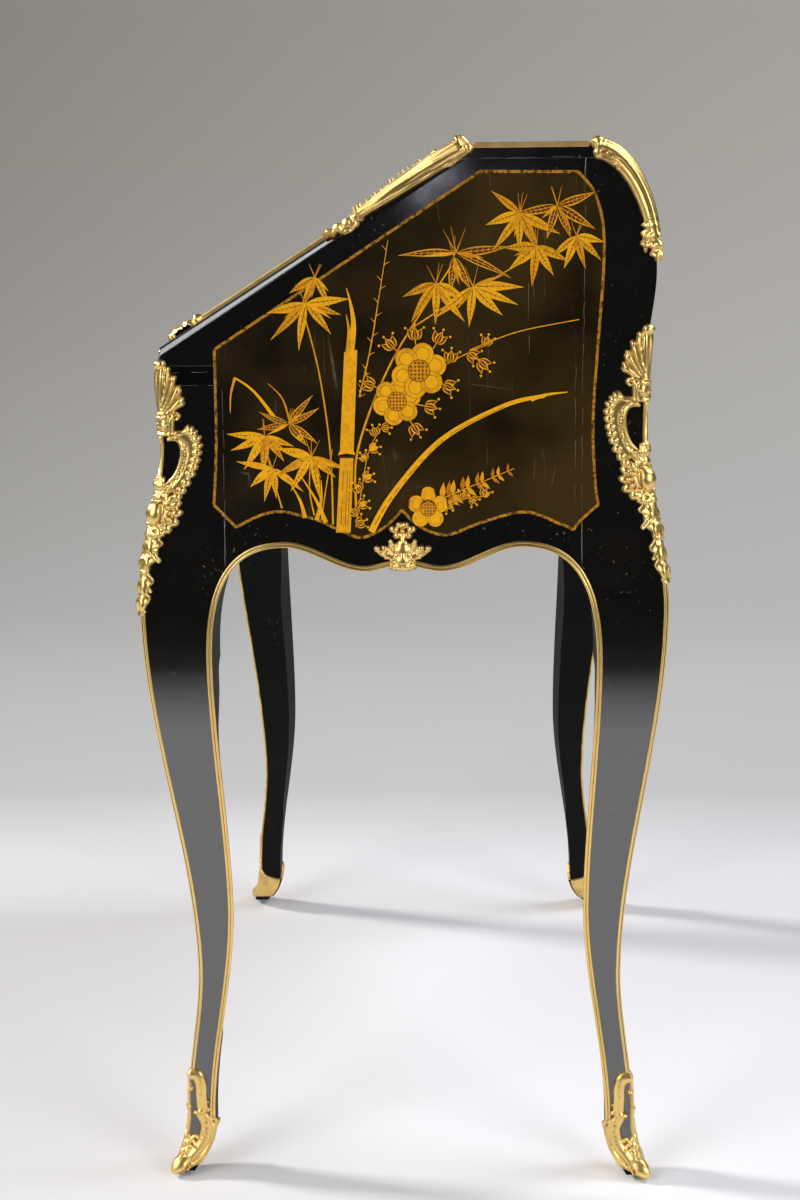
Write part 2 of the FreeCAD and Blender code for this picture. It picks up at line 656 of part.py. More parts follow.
def knob(label, x, y, z):
    """A turned knob that stands out of a front, its face at y."""
    body = doc.addObject("PartDesign::Body", "knob_body")
    sketch = body.newObject("Sketcher::SketchObject", "knob_profile")
    planes = {plane.Role: plane for plane in body.Origin.OriginFeatures}
    sketch.AttachmentSupport = (planes["XY_Plane"], "")
    sketch.MapMode = "FlatFace"
    neck = ("knob_neck", size("knob_neck"))
    head = ("knob_radius", size("knob_radius"))
    length = size("knob_length")
    outline = [(("0", 0), ("0", 0)), (neck, ("0", 0)), (neck, ("knob_length / 4", length / 4)),
               (head, ("knob_length / 2", length / 2)), (head, ("knob_length * 3 / 4", length * 3 / 4)),
               (neck, ("knob_length", length)), (("0", 0), ("knob_length", length))]
    start = [V(across[1], -along[1]) for across, along in outline]
    for index, point in enumerate(start):
        sketch.addGeometry(Part.LineSegment(point, start[(index + 1) % len(start)]))
    for index, ((across, _), (along, _)) in enumerate(outline):
        sketch.addConstraint(Sketcher.Constraint("Coincident", index, 2, (index + 1) % len(start), 1))
        if across == "0":
            sketch.addConstraint(Sketcher.Constraint("PointOnObject", index, 1, -2))
        else:
            spot = sketch.addConstraint(Sketcher.Constraint("DistanceX", -1, 1, index, 1, start[index].x))
            sketch.setExpression("Constraints[%d]" % spot, bound(across))
        if along == "0":
            sketch.addConstraint(Sketcher.Constraint("PointOnObject", index, 1, -1))
        else:
            spot = sketch.addConstraint(Sketcher.Constraint("DistanceY", index, 1, -1, 1, -start[index].y))
            sketch.setExpression("Constraints[%d]" % spot, bound(along))
    turn = body.newObject("PartDesign::Revolution", "knob_turning")
    turn.Profile = sketch
    turn.ReferenceAxis = (sketch, ["V_Axis"])
    turn.Angle = 360
    for place, value in zip("xyz", (x, y, z)):
        body.setExpression("Placement.Base." + place, bound(value))
    node(body, label)


# Drawers: front board, open box behind it and a knob
DRAWER_LOW = "(writing_height + seat_gap)"
DRAWER_HIGH = "(writing_height + drawer_height - seat_gap)"
BOX_FRONT = "(%s + drawer_face)" % GALLERY
BOX_BACK = "(%s - drawer_clear)" % STILE_Y
for place, shift in (("left", -1), ("middle", 0), ("right", 1)):
    centre = "%d * (%s + gallery_board)" % (shift, BAY)
    reach = "(%s / 2 - drawer_play)" % BAY
    left, right = "%s - %s" % (centre, reach), "%s + %s" % (centre, reach)
    face = box("face_" + place, (left, GALLERY, DRAWER_LOW), (right, BOX_FRONT, DRAWER_HIGH))
    node(face, "drawer_front_" + place)
    rim = "%s - drawer_face" % DRAWER_HIGH
    tray = box("tray_" + place, (left, BOX_FRONT, DRAWER_LOW), (right, BOX_BACK, rim))
    inside = box("inside_" + place, (left + " + drawer_wall", BOX_FRONT, DRAWER_LOW + " + drawer_wall"),
                 (right + " - drawer_wall", BOX_BACK + " - drawer_wall", DRAWER_HIGH))
    node(cut("box_" + place, tray, [inside]), "drawer_box_" + place)
    knob("drawer_knob_" + place, centre, GALLERY, "writing_height + drawer_height / 2")
for side, sign in (("right", ""), ("left", "-")):
    knob("loper_knob_" + side, "%s(%s + %s) / 2" % (sign, LOPER_IN, LOPER_OUT), minus(CASE_Y),
         "(%s + %s) / 2" % (LOPER_LOW, LOPER_TOP))

# The fall and what it carries, drawn flat with the hinge line at the origin
plank = wide("fall_plank", FALL_HALF, ("0", FALL), ("0", "board_thick"))
SKIN = ("leather_margin", FALL + " - leather_margin")
skin_room = wide("leather_room", FALL_HALF + " - leather_margin", SKIN, ("0", "leather_thick"))
lock_room = wide("lock_room", "lock_width / 2", (FALL + " - lock_height", FALL), ("0", "lock_thick"))
keyhole = cylinder("keyhole", "keyhole_radius", "board_thick", ("0", FALL + " - keyhole_drop", "0"))
fall_rooms = []
for side, sign in (("right", ""), ("left", "-")):
    at = sign + "hinge_at"
    half = "(hinge_length / 2 + cut_play)"
    fall_rooms.append(box("fall_leaf_room_" + side, ("%s - %s" % (at, half), "0", "0"),
                          ("%s + %s" % (at, half), "leaf_reach + cut_play", "leaf_thick")))
    fall_rooms.append(cylinder("fall_barrel_room_" + side, "barrel_radius + cut_play", "2 * %s" % half,
                               ("%s - %s" % (at, half), "0", "0"), "x"))
node(on_slope(cut("fall", plank, [skin_room, lock_room, keyhole] + fall_rooms)), "fall_board")
leather = wide("leather", FALL_HALF + " - leather_margin", SKIN, ("0", "leather_thick"))
node(on_slope(group("leather_sheet", [leather])), "fall_leather")

# Lock: case let into the fall's inner face, bolt that shoots out of its upper edge
casing = wide("lock_casing", "lock_width / 2", (FALL + " - lock_height", FALL + " - seat_gap"),
              ("0", "lock_thick"))
BOLT_LOW = "((lock_thick - bolt_thick) / 2)"
BOLT_HIGH = "((lock_thick + bolt_thick) / 2)"
channel = wide("bolt_channel", "bolt_width / 2 + cut_play",
               (FALL + " - seat_gap - bolt_length - cut_play", FALL),
               (BOLT_LOW + " - cut_play", BOLT_HIGH + " + cut_play"))
well_of_key = cylinder("key_room", "keyhole_radius", "lock_thick",
                       ("0", FALL + " - keyhole_drop", "lock_thick / 2"))
node(on_slope(cut("lock", casing, [channel, well_of_key])), "lock_case")
bolt = wide("bolt_plate", "bolt_width / 2", (FALL + " - seat_gap - bolt_length", FALL + " - seat_gap"),
            (BOLT_LOW, BOLT_HIGH))
node(on_slope(group("bolt", [bolt])), "lock_bolt")

# Flap hinges: a leaf on the board, a leaf on the fall, knuckles in thirds on one pin
THIRD = "(hinge_length / 3)"
LEAF_FROM = "(barrel_radius + cut_play)"


def knuckle(name, start, length, y, z):
    """A barrel on the hinge line and the bore through it."""
    barrel = cylinder(name + "_barrel", "barrel_radius", length, (start, y, z), "x")
    bore = cylinder(name + "_bore", "pin_radius + pin_play", length, (start, y, z), "x")
    return barrel, bore


case_leaves, fall_leaves, pins = [], [], []
for side, sign in (("right", ""), ("left", "-")):
    first = "(%shinge_at - hinge_length / 2)" % sign
    last = "(%shinge_at + hinge_length / 2)" % sign
    middle = "%s + %s + cut_play / 2" % (first, THIRD)
    short = "%s - cut_play" % THIRD
    plate = box("case_leaf_" + side, (first, "%s + %s" % (HINGE_Y, LEAF_FROM), "writing_height - leaf_thick"),
                (last, HINGE_Y + " + leaf_reach", "writing_height"))
    shapes, bores = [plate], []
    for end, start in (("a", first), ("b", "%s + 2 * %s" % (first, THIRD))):
        neck = box("case_neck_%s_%s" % (end, side), (start, HINGE_Y, "writing_height - leaf_thick"),
                   ("%s + %s" % (start, THIRD), "%s + %s" % (HINGE_Y, LEAF_FROM), "writing_height"))
        barrel, bore = knuckle("case_%s_%s" % (end, side), start, THIRD, HINGE_Y, "writing_height")
        shapes += [neck, barrel]
        bores.append(bore)
    case_leaves.append(cut("case_hinge_" + side, fuse("case_hinge_plate_" + side, shapes), bores))
    plate = box("fall_leaf_" + side, (first, LEAF_FROM, "0"), (last, "leaf_reach", "leaf_thick"))
    neck = box("fall_neck_" + side, (middle, "0", "0"),
               ("%s + %s" % (middle, short), LEAF_FROM, "leaf_thick"))
    barrel, bore = knuckle("fall_" + side, middle, short, "0", "0")
    whole = fuse("fall_hinge_plate_" + side, [plate, neck, barrel])
    fall_leaves.append(cut("fall_hinge_" + side, whole, [bore]))
    pins.append(cylinder("pin_" + side, "pin_radius", "hinge_length",
                         (first, HINGE_Y, "writing_height"), "x"))
node(group("case_hinges", case_leaves), "hinge_case_leaves")
node(on_slope(group("fall_hinges", fall_leaves)), "hinge_fall_leaves")
node(group("hinge_pin_pair", pins), "hinge_pins")

# Gilt bronze on the fall: moulding, lower corner leaves and the lock's escutcheon
MOULD_HALF = "(%s - fall_margin)" % FALL_HALF
ON_FALL = ("board_thick", "board_thick + moulding_proud")
frame = wide("mould_outside", MOULD_HALF, ("fall_margin", FALL + " - fall_margin"), ON_FALL)
gap = wide("mould_inside", MOULD_HALF + " - moulding_width",
           ("fall_margin + moulding_width", FALL + " - fall_margin - moulding_width"), ON_FALL)
leaves, leaf_holes = [], []
for side, sign in (("right", ""), ("left", "-")):
    corner = ("%s%s" % (sign, MOULD_HALF), "fall_margin", "board_thick")
    for shapes, use in ((leaves, "leaf"), (leaf_holes, "hole")):
        disc = cylinder("%s_disc_%s" % (use, side), "corner_mount", "shield_proud", corner)
        quarter = wide("%s_quarter_%s" % (use, side), MOULD_HALF, ("fall_margin", FALL),
                       ("board_thick", "board_thick + shield_proud"))
        fan = doc.addObject("Part::Common", "%s_fan_%s" % (use, side))
        fan.Base = disc
        fan.Tool = quarter
        shapes.append(fan)
node(on_slope(cut("fall_mould", frame, [gap] + leaf_holes)), "fall_moulding")
node(on_slope(group("corner_leaves", leaves)), "fall_corner_mounts")
shield = doc.addObject("Part::Ellipsoid", "shield_dome")
shield.setExpression("Radius1", bound("shield_proud"))
shield.setExpression("Radius2", bound("shield_length / 2"))
shield.setExpression("Radius3", bound("shield_width / 2"))
shield.Placement = FreeCAD.Placement(V(), FreeCAD.Rotation(V(0, 0, 1), 90))
SHIELD_TOP = FALL + " - fall_margin - moulding_width - cut_play"
shield.setExpression("Placement.Base.y", bound(SHIELD_TOP + " - shield_length / 2"))
shield.setExpression("Placement.Base.z", bound("board_thick"))
shield_half = wide("shield_half", "shield_width", ("0", FALL), ("0", "board_thick"))
shield_hole = cylinder("shield_keyhole", "keyhole_radius", "board_thick",
                       ("0", FALL + " - keyhole_drop", "board_thick"))
node(on_slope(cut("shield", shield, [shield_half, shield_hole])), "fall_escutcheon")

# Gilt bronze on the case. Each mount is a skin: a grown outline, less the outline itself
def arch_strip(chain, place_a, place_b, way, width):
    """The band of a given width along the legs' inner edges and the apron edge of one face."""
    outer = chain(width)
    inner = chain(0)
    edges = placed(inner, place_a) + placed(reversed_chain(inner), place_b)
    edges += placed(outer, place_b) + placed(reversed_chain(outer), place_a)
    return prism(edges, way)


def flip_y(shape):
    return shape.mirror(V(), V(0, 1, 0))


width, proud = size("fillet_width"), size("fillet_proud")
fillet_low = size("fillet_foot")
RIGHT = block((end_x - thick, -FAR, fillet_low), (FAR, FAR, writing))
FRONT = block((-FAR, -FAR, fillet_low), (FAR, thick - stile_y, writing))
end_strip = arch_strip(end_arch, front_point, back_point, V(2 * FAR, 0, 0), width).common(RIGHT)
end_band = end_strip.common(long_sheet(proud).common(RIGHT)).cut(long_mass.common(RIGHT))
long_strip = arch_strip(long_arch, left_point, right_point, V(0, 2 * FAR, 0), width).common(FRONT)
front_band = long_strip.common(end_sheet(proud).common(FRONT)).cut(end_mass.common(FRONT))
back_band = flip_y(front_band)
node(solid("end_fillets", Part.makeCompound([end_band, flip_x(end_band)])), "apron_fillets_ends")
node(solid("front_fillet", front_band), "apron_fillet_front")
node(solid("back_fillet", back_band), "apron_fillet_back")

# Pierced corner chutes: two wings that wrap the arris, drawn once for the right side. Points of a wing and
# its piercing are shares of the wing's width and of the chute's length
WING = [(0.0, 0.0), (0.46, 0.05), (0.48, 0.10), (0.66, 0.15), (0.66, 0.22), (1.0, 0.33), (0.97, 0.42),
        (0.72, 0.53), (0.62, 0.62), (0.40, 0.71), (0.42, 0.81), (0.18, 0.90), (0.0, 1.0)]
chute_proud = size("chute_proud")
HOLE_IN = 0.30
HOLE_DOWN = 0.395
HOLE_ACROSS = 0.22
HOLE_TALL = 0.07


def outer_inset(height):
    """Inset of the outer curve at a height between the knee and the case."""
    share = (height - knee_height) / (waist_height - knee_height)
    share = min(max(share, 0), 1)
    return inset * share * share * (3 - 2 * share)


def wing_prism(lift, point, way):
    """One wing's outline with its pierced scroll, swept through the corner."""
    length, wing = size("chute_length"), size("chute_wing")
    head = writing + size("chute_rise") + lift
    rim = []
    for across, down in WING:
        height = head - down * length
        rim.append(point(outer_inset(height) + across * wing, height))
    curve = Part.BSplineCurve()
    curve.interpolate(rim)
    outside = [point(-wing, head - length), point(-wing, head)]
    edges = [curve.toShape(), Part.makeLine(rim[-1], outside[0])]
    edges += [Part.makeLine(*outside), Part.makeLine(outside[1], rim[0])]
    middle_height = head - HOLE_DOWN * length
    middle = point(outer_inset(middle_height) + HOLE_IN * wing, middle_height)
    normal = V(way).normalize()
    ring = Part.makeCircle(1, V(), V(0, 0, 1))
    matrix = FreeCAD.Matrix()
    matrix.scale(HOLE_ACROSS * wing, HOLE_TALL * length, 1)
    ring = ring.transformGeometry(matrix)
    upright = V(0, 0, 1)
    turn = FreeCAD.Rotation(upright.cross(normal), upright, normal, "ZXY")
    ring.Placement = FreeCAD.Placement(middle, turn)
    hole = Part.Face(Part.Wire([ring])).extrude(way)
    return prism(edges, way).cut(hole)


def leg_region(back, low, high):
    """The room round a right-hand stile and leg between two heights."""
    inner = stile_y - size("chute_wing")
    ys = (inner, FAR) if back else (-FAR, -inner)
    return block((stile_x - size("chute_wing"), ys[0], low), (FAR, ys[1], high))


def chute(back):
    """A right-hand chute, at the front or at the back."""
    lift = back * size("chute_lift")
    edge = back_point if back else front_point
    region = leg_region(back, thigh_height, writing + 2 * size("chute_lift"))
    end_near, long_near = end_mass.common(region), long_mass.common(region)
    hide = end_sheet(chute_proud).common(region).common(long_sheet(chute_proud).common(region))
    side_wing = wing_prism(lift, edge, V(2 * FAR, 0, 0)).common(hide).cut(long_near)
    face_wing = wing_prism(lift, right_point, V(0, 2 * FAR, 0)).common(hide).cut(end_near)
    return side_wing.fuse(face_wing).removeSplitter()


# Sabots: a thin shoe round the foot with a scrolled toe
def foot_prism(point, way, wall):
    """A foot's outline grown by the sabot's wall, with the toe, swept through the corner."""
    sole = size("foot_in") - size("foot_flare")
    heel = sole + size("foot_thick") + wall
    toe = sole - size("toe_reach")
    shin = size("foot_in") - wall
    instep = size("foot_in") + size("instep_thick") + wall
    rise = size("toe_height")
    crest = size("sabot_top")
    lean = (crest - size("foot_height")) / (size("ankle_height") - size("foot_height"))
    shin_top = shin + (size("ankle_in") - size("foot_in")) * lean * lean * (3 - 2 * lean)
    calf = (crest - size("instep_height")) / (size("calf_height") - size("instep_height"))
    calf_run = size("calf_in") - size("foot_in") - size("instep_thick")
    instep_top = instep + calf_run * calf * calf * (3 - 2 * calf)
    chain = [line((heel, 0), (toe, 0)), line((toe, 0), (toe, rise / 2)),
             [(toe, rise / 2), (toe, rise), (shin, 1.4 * rise), (shin, size("foot_height"))],
             upright_curve((shin, size("foot_height")), (shin_top, crest)),
             line((shin_top, crest), (instep_top, crest)),
             upright_curve((instep_top, crest), (instep, size("instep_height"))),
             flare_curve((heel, 0), (instep, size("instep_height")))[::-1]]
    return prism(placed(chain, point), way)


sabot_wall = size("sabot_wall")
chutes = {}
chute_tips = {}
for place, leg, edge in (("front", front_leg, front_point), ("back", back_leg, back_point)):
    shoe = foot_prism(edge, V(2 * FAR, 0, 0), sabot_wall)
    shoe = shoe.common(foot_prism(right_point, V(0, 2 * FAR, 0), sabot_wall))
    shoe = shoe.cut([leg, end_band, back_band if place == "back" else front_band])
    node(solid("shoe_%s_r" % place, shoe), "sabot_%s_right" % place)
    node(solid("shoe_%s_l" % place, flip_x(shoe)), "sabot_%s_left" % place)
    mount = chute(place == "back")
    chutes[place] = mount
    chute_tips[place] = mount.BoundBox.ZMin
    node(solid("chute_%s_r" % place, mount), "chute_%s_right" % place)
    node(solid("chute_%s_l" % place, flip_x(mount)), "chute_%s_left" % place)


# Fillets along the outer arris of each leg, from the sabot to the chute
shin = leg_region(False, size("sabot_top"), chute_tips["back"] + width)
near = [sheet_of(-width / 2).common(shin) for sheet_of in (end_sheet, long_sheet)]
arris = end_sheet(proud).common(shin).common(long_sheet(proud).common(shin)).cut(near + [core.common(shin)])
corner_fillets = []
for place, tip in chute_tips.items():
    strip = arris.common(block((0, -FAR, 0), (FAR, 0, tip + width)))
    strip = (flip_y(strip) if place == "back" else strip).cut(chutes[place])
    corner_fillets += strip.Solids + flip_x(strip).Solids
node(solid("arris", Part.makeCompound(corner_fillets)), "leg_corner_fillets")


# Apron cartouches: a shell over a base, one in the middle of each face. Points are shares of the half
# width and of the height
CARTOUCHE = [(0, 1), (0.30, 0.72), (0.62, 0.74), (1, 0.46), (0.52, 0.30), (0.52, 0.0)]


def cartouche_prism(place, way):
    across, tall = size("cartouche_width") / 2, size("cartouche_height")
    base = pendant_height - size("cartouche_drop")
    right_side = [place(x * across, base + z * tall) for x, z in CARTOUCHE]
    left_side = [place(-x * across, base + z * tall) for x, z in reversed(CARTOUCHE)]
    curves = []
    for points in (right_side, left_side):
        curve = Part.BSplineCurve()
        curve.interpolate(points)
        curves.append(curve.toShape())
    return prism(curves, way)


shell_proud = size("cartouche_proud")
on_end = cartouche_prism(lambda across, z: V(0, across, z), V(FAR, 0, 0))
on_end = on_end.common(RIGHT).common(long_sheet(shell_proud)).cut([long_mass.common(RIGHT), end_band])
on_face = cartouche_prism(lambda across, z: V(across, -FAR, z), V(0, FAR, 0))
on_face = on_face.common(FRONT).common(end_sheet(shell_proud)).cut([end_mass.common(FRONT), front_band])
cartouches = Part.makeCompound([on_end, flip_x(on_end), on_face, flip_y(on_face)])
node(solid("cartouche_set", cartouches), "apron_cartouches")

# Clasps over the slope's upper ends and over the back shoulders. Points are shares of length and height
CLASP = [(0, 0), (0.5, 0.7), (0.8, 1), (1, 0.7)]
clasp_in = end_x + 2 * seat
clasp_out = case_x + size("clasp_wrap")
clasp_from = crest - size("clasp_length")
outline = []
for along, out in CLASP:
    reach = clasp_from + along * (size("clasp_length") + lap)
    outline.append((reach, thick + out * size("clasp_proud")))
curve = Part.BSplineCurve()
curve.interpolate([V(clasp_in, along, out) for along, out in outline])
ends = [V(clasp_in, crest + lap, thick - 2 * lap), V(clasp_in, clasp_from, thick - lap)]
ridge = [curve.toShape(), Part.makeLine(V(clasp_in, *outline[-1]), ends[0]), Part.makeLine(*ends),
         Part.makeLine(ends[1], V(clasp_in, *outline[0]))]
clasp = prism(ridge, V(clasp_out - clasp_in, 0, 0))
clasp = leaned(clasp).cut(core)
node(solid("slope_clasp_pair", Part.makeCompound([clasp, flip_x(clasp)])), "slope_clasps")
corner = block((clasp_in, shoulder_y - lap, top - size("back_clasp_drop")), (clasp_out, FAR, FAR))
shoulder = end_sheet(size("back_clasp_proud")).common(corner)
shoulder = shoulder.cut([end_sheet(-lap).common(corner), core.common(corner)])
node(solid("back_clasp_pair", Part.makeCompound([shoulder, flip_x(shoulder)])), "back_clasps")

# Write every sub-part
os.makedirs("parts", exist_ok=True)
doc.recompute()
for obj in doc.Objects:
    if "Invalid" in obj.State or "Error" in obj.State:
        raise RuntimeError("failed object: " + obj.Label)
for obj in parts:
    if obj.Shape.isNull() or not obj.Shape.isValid():
        raise RuntimeError("bad shape: " + obj.Label)
    obj.Shape.exportStep("parts/%s.step" % obj.Label)
print(len(parts), "sub-parts written")
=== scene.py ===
import bpy
import json
import math
import random
import numpy as np
from mathutils import Matrix, Vector

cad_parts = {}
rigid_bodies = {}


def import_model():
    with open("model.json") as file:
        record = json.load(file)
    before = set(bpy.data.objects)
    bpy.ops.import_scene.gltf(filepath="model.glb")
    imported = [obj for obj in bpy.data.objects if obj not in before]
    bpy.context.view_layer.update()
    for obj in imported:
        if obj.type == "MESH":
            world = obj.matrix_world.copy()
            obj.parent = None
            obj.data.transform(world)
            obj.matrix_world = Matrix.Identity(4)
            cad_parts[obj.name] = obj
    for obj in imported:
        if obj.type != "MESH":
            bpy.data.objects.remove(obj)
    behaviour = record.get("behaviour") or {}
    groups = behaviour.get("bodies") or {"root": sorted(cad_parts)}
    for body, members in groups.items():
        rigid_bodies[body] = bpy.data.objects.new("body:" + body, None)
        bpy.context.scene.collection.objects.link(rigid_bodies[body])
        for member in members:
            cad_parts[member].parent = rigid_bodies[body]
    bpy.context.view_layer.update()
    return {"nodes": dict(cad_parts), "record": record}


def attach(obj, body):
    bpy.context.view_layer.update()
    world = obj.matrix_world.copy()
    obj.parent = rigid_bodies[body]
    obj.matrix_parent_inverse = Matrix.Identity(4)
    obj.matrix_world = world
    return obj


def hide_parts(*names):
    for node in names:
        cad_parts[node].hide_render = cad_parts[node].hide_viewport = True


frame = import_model()
nodes = frame["nodes"]
hands = (("right", 1), ("left", -1))
longFaces = (("front", -1), ("back", 1))
corners = [(place, sideY, hand, sideX) for place, sideY in longFaces for hand, sideX in hands]
bpy.ops.object.select_all(action="DESELECT")


# small tools

def hexColour(text):
    # sRGB hex to linear
    parts = [int(text[i:i + 2], 16) / 255 for i in (1, 3, 5)]
    return [c / 12.92 if c <= 0.04045 else ((c + 0.055) / 1.055) ** 2.4 for c in parts] + [1.0]


def connect(node, links):
    # a source is a socket, or a node that stands for its factor or else its first output
    for name, source in links.items():
        if isinstance(source, bpy.types.Node):
            source = source.outputs.get("Fac", source.outputs[0])
        node.id_data.links.new(source, node.inputs[name])


def addNode(tree, kind, links={}, inputs={}, **settings):
    node = tree.nodes.new("ShaderNode" + kind)
    for name, value in settings.items():
        setattr(node, name, value)
    for name, value in inputs.items():
        node.inputs[name].default_value = hexColour(value) if isinstance(value, str) else value
    connect(node, links)
    return node


def newMaterial(name, **sockets):
    material = bpy.data.materials.new(name)
    material.use_nodes = True
    tree = material.node_tree
    shader = tree.nodes["Principled BSDF"]
    for socket, value in sockets.items():
        shader.inputs[socket.replace("_", " ")].default_value = value
    return material, tree, shader, addNode(tree, "TexCoord").outputs["Object"]


def dress(obj, material, body=None, covers=()):
    obj.data.materials.clear()
    obj.data.materials.append(material)
    if body:
        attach(obj, body)
    if covers:
        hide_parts(*covers)


def choose(obj):
    bpy.ops.object.select_all(action="DESELECT")
    obj.select_set(True)
    bpy.context.view_layer.objects.active = obj


def newPiece(name, points, faces):
    mesh = bpy.data.meshes.new(name)
    mesh.from_pydata(points, [], faces)
    piece = bpy.data.objects.new(name, mesh)
    bpy.context.collection.objects.link(piece)
    choose(piece)
    return piece


def faceOut(piece, inside):
    # turn the whole sheet so that its faces look away from a point inside the furniture
    if sum((face.center - inside).dot(face.normal) * face.area for face in piece.data.polygons) < 0:
        choose(piece)
        bpy.ops.object.mode_set(mode="EDIT")
        bpy.ops.mesh.select_all(action="SELECT")
        bpy.ops.mesh.flip_normals()
        bpy.ops.object.mode_set(mode="OBJECT")


def bezier(poles, steps):
    t = np.linspace(0, 1, steps)[:, None]
    p = np.array(poles)
    return (1 - t) ** 3 * p[0] + 3 * t * (1 - t) ** 2 * p[1] + 3 * t * t * (1 - t) * p[2] + t ** 3 * p[3]


# what the furniture's faces do, in metres
legShape = {"halfWidth": 0.3405, "halfDepth": 0.228, "probe": 0.0005,
            "foot": [(0.0085, 0.005), (0.0145, 0.0215), (0.0205, 0.038), (0.0205, 0.060)],
            "instep": [(0.025, 0.005), (0.0345, 0.0179), (0.044, 0.0308), (0.044, 0.048)],
            "inner": [(0.048, 0.044), (0.270, 0.0668), (0.500, 0.0595)],
            "stations": [(0.060, 0.0205), (0.200, 0.033), (0.550, 0.0), (0.700, 0.021)],
            "swell": (0.762, 0.838, 0.0075)}


def eased(z, low, high):
    t = np.clip((z - low) / (high - low), 0, 1)
    return t * t * (3 - 2 * t)


def alongStations(stations, z):
    # level-ended curves from one height to the next
    result = np.full(z.shape, stations[0][1])
    for (low, a), (high, b) in zip(stations, stations[1:]):
        result = np.where(z > low, a + (b - a) * eased(z, low, high), result)
    return result


def alongFoot(poles, z):
    # the flared foot: inset at a height on its curve
    curve = bezier(poles, 60)
    return np.interp(z, curve[:, 1], curve[:, 0])


def insetOf(foot, stations, z):
    z = np.asarray(z, float)
    return np.where(z < stations[0][0], alongFoot(foot, z), alongStations(stations, z))


def legInset(z):
    # how far the outer curve of a leg lies inside the knees
    return insetOf(legShape["foot"], legShape["stations"], z)


def innerInset(z):
    # and its inner curve, up to the thigh
    return insetOf(legShape["instep"], legShape["inner"], z)


def backInset(z):
    # the back does the same below the writing board and swells above it
    low, high, swell = legShape["swell"]
    return legInset(z) - swell * eased(np.asarray(z, float), low, high)


def slopeOf(inset, z):
    probe = legShape["probe"]
    return (inset(z + probe) - inset(z - probe)) / (2 * probe)


# camera at the photograph's place; its focal length is in pixels, for a picture 1200 tall
view = {"focal": 1822, "tall": 1200, "sensor": 36, "place": (1.8692, 0.0575, 0.9324),
        "yaw": 2.25, "pitch": 13.63, "roll": 0.66}
yaw, pitch, roll = (math.radians(view[k]) for k in ("yaw", "pitch", "roll"))
level = Vector((-math.cos(yaw), -math.sin(yaw), 0))
right = Vector((-math.sin(yaw), math.cos(yaw), 0))
ahead = math.cos(pitch) * level - math.sin(pitch) * Vector((0, 0, 1))
upward = math.cos(pitch) * Vector((0, 0, 1)) + math.sin(pitch) * level
turnedRight = math.cos(roll) * right - math.sin(roll) * upward
turnedUp = math.sin(roll) * right + math.cos(roll) * upward
bpy.ops.object.camera_add()
camera = bpy.context.object
turned = Matrix((turnedRight, turnedUp, -ahead)).transposed().to_4x4()
camera.matrix_world = Matrix.Translation(view["place"]) @ turned
camera.data.sensor_width = view["sensor"]
camera.data.lens = view["focal"] / view["tall"] * view["sensor"]
bpy.context.scene.camera = camera
bpy.context.scene.view_settings.view_transform = "Standard"
print("camera set")


# plain pale floor that runs up into a grey backdrop

def selectEdges(mesh, wanted):
    # leaves the wanted edges selected, in edit mode
    bpy.ops.object.mode_set(mode="EDIT")
    bpy.ops.mesh.select_mode(type="EDGE")
    bpy.ops.mesh.select_all(action="DESELECT")
    bpy.ops.object.mode_set(mode="OBJECT")
    for edge in mesh.edges:
        edge.select = all(wanted(mesh.vertices[i].co) for i in edge.vertices)
    bpy.ops.object.mode_set(mode="EDIT")


stageShape = {"front": 2.2, "back": -3.4, "side": 5.0, "wall": 4.0, "sweep": 1.6, "segments": 24,
              "fold below": 0.01, "dark": -1.8, "far": 5.0}


def atBack(point):
    return point.x < 0


def atFold(point):
    return atBack(point) and point.z < stageShape["fold below"]


bpy.ops.mesh.primitive_plane_add(size=2)
floor = bpy.context.object
floor.name = "studio_floor"
floor.scale = ((stageShape["front"] - stageShape["back"]) / 2, stageShape["side"], 1)
floor.location = ((stageShape["front"] + stageShape["back"]) / 2, 0, 0)
bpy.ops.object.transform_apply(location=True, scale=True)
selectEdges(floor.data, atBack)
bpy.ops.mesh.extrude_region_move(TRANSFORM_OT_translate={"value": (0, 0, stageShape["wall"])})
selectEdges(floor.data, atFold)
bpy.ops.mesh.bevel(offset=stageShape["sweep"], segments=stageShape["segments"], affect="EDGES")
bpy.ops.mesh.select_all(action="SELECT")
bpy.ops.mesh.normals_make_consistent(inside=False)
bpy.ops.object.mode_set(mode="OBJECT")
bpy.ops.object.shade_smooth()

# studio paper with painted shade: white under the desk, greyer up the wall and dark towards the front edge,
# where the colour stands in for less light
paper, tree, shader, place = newMaterial("matt_studio_paper", Roughness=0.8, Specular_IOR_Level=0.2)
split = addNode(tree, "SeparateXYZ", {"Vector": place}).outputs
far = addNode(tree, "Math", {0: split["Z"], 1: split["X"]}, operation="SUBTRACT")
reach = addNode(tree, "MapRange", {"Value": far},
                {"From Min": stageShape["dark"], "From Max": stageShape["far"]})
paperShade = addNode(tree, "ValToRGB", {"Fac": reach})
stops = [(0.0, "#2b2a28"), (0.05, "#4a4845"), (0.11, "#ebebed"), (0.25, "#dfdfe2"), (0.33, "#d5d5d8"),
         (0.375, "#b7b7b8"), (0.47, "#b5b5b4"), (0.65, "#aba9a5"), (0.95, "#9c988e")]
ramp = paperShade.color_ramp
for element, (position, text) in zip(ramp.elements, (stops[0], stops[-1])):
    element.position = position
    element.color = hexColour(text)
for position, text in stops[1:-1]:
    ramp.elements.new(position).color = hexColour(text)
connect(shader, {"Base Color": paperShade})
dress(floor, paper)

